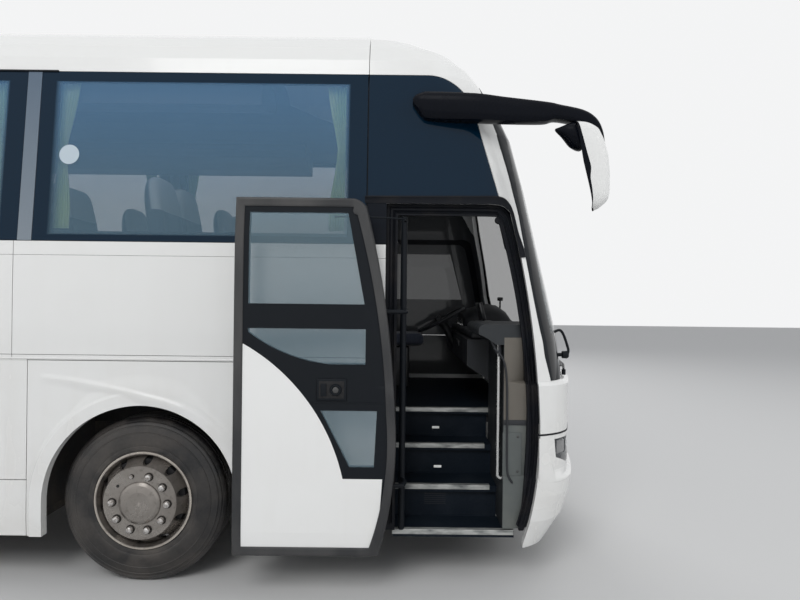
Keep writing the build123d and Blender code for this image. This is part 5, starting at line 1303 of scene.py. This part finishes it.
def mirror_arm(side, name):
    """One arm: flat-sided, with a bevelled top edge."""
    rows = eased([(*middle, lean, width, height) for middle, lean, width, height in ARM_STATIONS], 6)
    section = [(1, 0.25), (0.96, 0.55), (0.80, 0.86), (0.62, 0.98), (0.2, 1), (-0.4, 1), (-0.8, 0.94),
               (-0.97, 0.7), (-1, 0.2), (-1, -0.4), (-0.94, -0.8), (-0.7, -0.97), (-0.2, -1), (0.4, -1),
               (0.78, -0.94), (0.95, -0.7), (1, -0.3)]
    points = []
    for x, y, z, lean, width, height in rows:
        a = radians(lean)
        for u, v in section:
            points.append((x + sin(a) * v * height / 2, side * (y + u * width / 2),
                           z + cos(a) * v * height / 2))
    faces = grid_faces(len(rows), len(section), True) + end_faces(len(rows), len(section))
    piece = add_mesh(f"mirror_arm_{name}", points, faces, arm_black, "root", 32)
    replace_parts(piece, "mirror_arms")


def mirror_head(side, name):
    """One head: shell, rim and glass."""
    rows = eased(HEAD_STATIONS, 4)
    shell, rim, glass_points = [], [], []
    for z, back, seam, front, half in rows:
        for j in range(25):
            a = pi * (j / 24 - 0.5)
            y = half * abs(sin(a)) ** 0.62 * (1 if a > 0 else -1)
            turned = seam - HEAD_SET + HEAD_TURN * (half - y)
            shell.append((turned + (front - turned) * cos(a) ** 0.72, side * (HEAD_Y + y), z))
        inner = [(seam + 0.002, -0.985), (back + 0.003, -0.975), (back, -0.955), (back + 0.001, -0.90),
                 (back + 0.010, -0.885)]
        outer = [(reach, -share) for reach, share in reversed(inner)]
        panes = [(back + 0.008, 0.9 * share) for share in (-1, -0.5, 0, 0.5, 1)]
        for line, made in ((inner + outer, rim), (panes, glass_points)):
            made += [(reach - HEAD_SET + HEAD_TURN * half * (1 - share), side * (HEAD_Y + half * share), z)
                     for reach, share in line]
    count = len(rows)
    # The rim is open in the middle, where the glass lies.
    rim_faces = [face for face in grid_faces(count, 10) if face[0] % 10 != 4] + end_faces(count, 10)
    for label, points, faces, finish, sharp in (
        ("shell", shell, grid_faces(count, 25) + end_faces(count, 25), side_white, 50),
        ("rim", rim, rim_faces, arm_black, 40),
        ("glass", glass_points, grid_faces(count, 5), reflector, 60),
    ):
        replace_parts(add_mesh(f"mirror_{label}_{name}", points, faces, finish, "root", sharp), "mirror_heads")


# The kerb mirror's pod hangs from the arm's end behind the head: stations along it, x, middle height,
# half height and half width.
POD = [(5.747, 2.766, 0.006, 0.012), (5.760, 2.762, 0.014, 0.024), (5.785, 2.756, 0.030, 0.040),
       (5.806, 2.749, 0.046, 0.052), (5.836, 2.736, 0.069, 0.064), (5.870, 2.726, 0.079, 0.070),
       (5.893, 2.722, 0.080, 0.070), (5.902, 2.721, 0.074, 0.064)]
for side, name in SIDES:
    mirror_arm(side, name)
    mirror_head(side, name)
    stations = [((x, side * 1.362, z), (0, w, 0), (0, 0, h)) for x, z, h, w in eased(POD, 3)]
    points, faces = rounded_body(stations, 32, 2.4)
    add_mesh(f"kerb_mirror_{name}", points, faces, arm_black, "root", 40)

# Wheels
# Worn radial tyres: moulded rings on the sidewall, grooved tread, brown scuffs. The steel discs are worn
# silver under brown brake dust, over drums at the front that are painted black as painted shade, and held by
# ten domed nuts, each painted bright on top as a painted highlight and dark on its seat as painted shade; on
# the front right wheel one nut is missing, its hole a black disc of painted shade, and one stud is short of
# its cap.
HUB_MIDDLE, HALF_BASE = 0.23, 3.05


def from_axle(finish):
    """A surface point's distance from the nearer axle and its angle round it."""
    dx = abs(finish.axis("X") - HUB_MIDDLE) - HALF_BASE
    dz = finish.axis("Z") - HUB_Z
    return finish.maths("SQRT", dx * dx + dz * dz, 0), finish.maths("ARCTAN2", dz, dx)


tyre_rubber = Finish("tyre_rubber", (0.03, 0.029, 0.028), 0.6, Specular_IOR_Level=0.6)
reach, angle = from_axle(tyre_rubber)
scuffs = tyre_rubber.between(tyre_rubber.noise(9, 6, tyre_rubber.stretched((1, 0.4, 1))), 0.42, 0.72)
broad = tyre_rubber.between(tyre_rubber.noise(3.6, 4), 0.46, 0.66)
bead_dust = tyre_rubber.between(reach, 0.30, 0.37, 1, 0.35)
fine = tyre_rubber.between(tyre_rubber.noise(60, 4), 0.45, 0.75)
dirt = scuffs * 0.6 * bead_dust + broad * 0.30 + fine * 0.10
tyre_rubber.set(Base_Color=tyre_rubber.mixed(dirt, (0.007, 0.007, 0.008), (0.098, 0.086, 0.075)),
                Roughness=tyre_rubber.between(scuffs, 0, 1, 0.30, 0.6))
sipes = tyre_rubber.maths("SINE", angle * 180, 0) * tyre_rubber.between(reach, 0.488, 0.494)
tyre_rubber.bump(sipes * 0.5 + tyre_rubber.noise(240, 2) * 0.3, 0.0012, 0.5)

wheel_paint = Finish("wheel_paint", (0.24, 0.22, 0.20), 0.32, Metallic=0.8)
reach = from_axle(wheel_paint)[0]
brown = wheel_paint.between(wheel_paint.noise(6.5, 5), 0.42, 0.64)
rusty = wheel_paint.between(wheel_paint.noise(45, 4), 0.55, 0.72)
ring_dust = wheel_paint.between(reach, 0.205, 0.25, 0.35, 1)
ring_dust = ring_dust * wheel_paint.between(reach, 0.285, 0.293, 1, 0.25)
wheel_dirt = brown * 0.6 * ring_dust + rusty * 0.25
# A dark ring round the hub's joint, and a brighter flange.
hub_joint_ring = wheel_paint.between(reach, 0.127, 0.131, 1, 0) * wheel_paint.between(reach, 0.120, 0.126)
flange = wheel_paint.between(reach, 0.285, 0.292)
bare = wheel_paint.mixed(flange, (0.33, 0.305, 0.28), (0.58, 0.53, 0.47))
wheel_paint.set(Base_Color=wheel_paint.mixed(wheel_dirt + hub_joint_ring * 0.5, bare, (0.060, 0.046, 0.038)),
                Roughness=0.26 + wheel_dirt * 0.4)
wheel_paint.bump(wheel_paint.noise(60, 3), 0.0004, 0.35)
dress(wheel_paint, "rim_front_right", "rim_front_left", "rims_rear_right", "rims_rear_left")

# Tyre section outside in: distance out from the sidewall's widest plane, radius.
SIDEWALL = [(-0.020, 0.2865), (-0.011, 0.289), (-0.006, 0.296), (-0.007, 0.303), (-0.003, 0.306),
            (-0.001, 0.315), (0.001, 0.330), (0.0005, 0.334), (0.0022, 0.337), (0.003, 0.352),
            (0.003, 0.372), (0.002, 0.392), (0.0, 0.409), (0.0013, 0.411), (0.0008, 0.416), (-0.0018, 0.418),
            (-0.005, 0.436), (-0.0088, 0.450), (-0.0076, 0.452), (-0.0088, 0.457), (-0.0125, 0.459),
            (-0.0175, 0.472), (-0.0165, 0.4745), (-0.0205, 0.480), (-0.0245, 0.482), (-0.0235, 0.4855),
            (-0.029, 0.4915), (-0.034, 0.4975), (-0.041, 0.5025), (-0.049, 0.5045)]
HALF_TREAD = [(-0.066, 0.5048), (-0.0675, 0.492), (-0.0775, 0.492), (-0.079, 0.505), (-0.110, 0.505),
              (-0.1115, 0.4915), (-0.1215, 0.4915), (-0.123, 0.505)]


def wheel_tyre(name, axle, outer, side, body, node):
    """One tyre, the same outline on both walls, 0.28 m apart."""
    half = SIDEWALL + HALF_TREAD
    outline = half + [(-0.28 - out, r) for out, r in reversed(half)]
    piece = lathe(name, outline, (axle, side * outer, HUB_Z), side, tyre_rubber, body, 144, "Y", 28)
    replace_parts(piece, node)


NUT_DOME = [(0, 0), (0, 0.0265), (0.004, 0.0265), (0.006, 0.0235), (0.0065, 0.0205), (0.022, 0.0200),
            (0.0275, 0.0175), (0.0315, 0.0115), (0.033, 0)]
BARE_STUD = [(0, 0), (0, 0.0135), (0.004, 0.0135), (0.0045, 0.011), (0.014, 0.0105), (0.0155, 0.009),
             (0.016, 0)]
# Where a nut is missing, a thin black disc stands for its hole: painted shade.
STUD_HOLE_SHADE = [(0.0003, 0), (0.0008, 0), (0.0008, 0.0095), (0.0003, 0.0095)]
# How far the discs' outer faces stand from the centre line; the rear ones lie deep in their rims.
FRONT_FACE, REAR_FACE = 1.2808, 1.0857
nut_steel = Finish("nut_steel", (0.30, 0.285, 0.27), 0.32, Metallic=0.8)
nut_dust = nut_steel.between(nut_steel.noise(70, 4), 0.42, 0.7)
# The flat seat next to the disc is painted dark as painted shade, and the cap that stands on it is painted
# bright as a painted highlight, clouded by dust.
nut_side = abs(nut_steel.axis("Y")) + (nut_steel.axis("X") < 0) * (FRONT_FACE - REAR_FACE)
dome_highlight_mask = nut_steel.between(nut_side, FRONT_FACE + 0.0067, FRONT_FACE + 0.0112)
highlight_and_dust = nut_steel.mixed(nut_dust, (0.60, 0.585, 0.57), (0.27, 0.235, 0.21))
nut_steel.set(Base_Color=nut_steel.mixed(dome_highlight_mask, (0.022, 0.020, 0.018), highlight_and_dust), Roughness=0.14 + nut_dust * 0.3)


def wheel_nuts(label, axle, face, side, phase, body, missing=None, bare=None):
    """Ten nuts round a hub, counted from ahead upwards; one may be missing and one stud left bare."""
    for k in range(10):
        turn = radians(36 * k + phase)
        centre = (axle + 0.1675 * cos(turn), side * face, HUB_Z + 0.1675 * sin(turn))
        outline, finish = NUT_DOME, nut_steel
        if k == missing:
            outline, finish = STUD_HOLE_SHADE, hollow_shade
        if k == bare:
            outline = BARE_STUD
        lathe(f"wheel_nut_{label}_{k}", outline, centre, side, finish, body, 28)


DRUM = [(-0.060, 0.110), (-0.064, 0.235), (-0.070, 0.252), (-0.095, 0.256), (-0.150, 0.256), (-0.165, 0.250),
        (-0.168, 0.110)]
for side, name in SIDES:
    front, rear = f"wheel_front_{name}", f"wheels_rear_{name}"
    # The front drums are painted black: painted shade that shows through the discs' hand holes.
    lathe(f"front_drum_painted_shade_{name}", DRUM, (FRONT_AXLE, side * FRONT_FACE, HUB_Z), side, hollow_shade, front, 64)
    wheel_tyre(f"tread_front_{name}", FRONT_AXLE, 1.235, side, front, f"tyre_front_{name}")
    for number, outer in enumerate((1.235, 0.900)):
        wheel_tyre(f"tread_rear_{name}_{number}", REAR_AXLE, outer, side, rear, f"tyres_rear_{name}")
    flaws = {"missing": 4, "bare": 3} if side < 0 else {}
    wheel_nuts(f"front_{name}", FRONT_AXLE, FRONT_FACE, side, -1, front, **flaws)
    wheel_nuts(f"rear_{name}", REAR_AXLE, REAR_FACE, side, 30, rear)
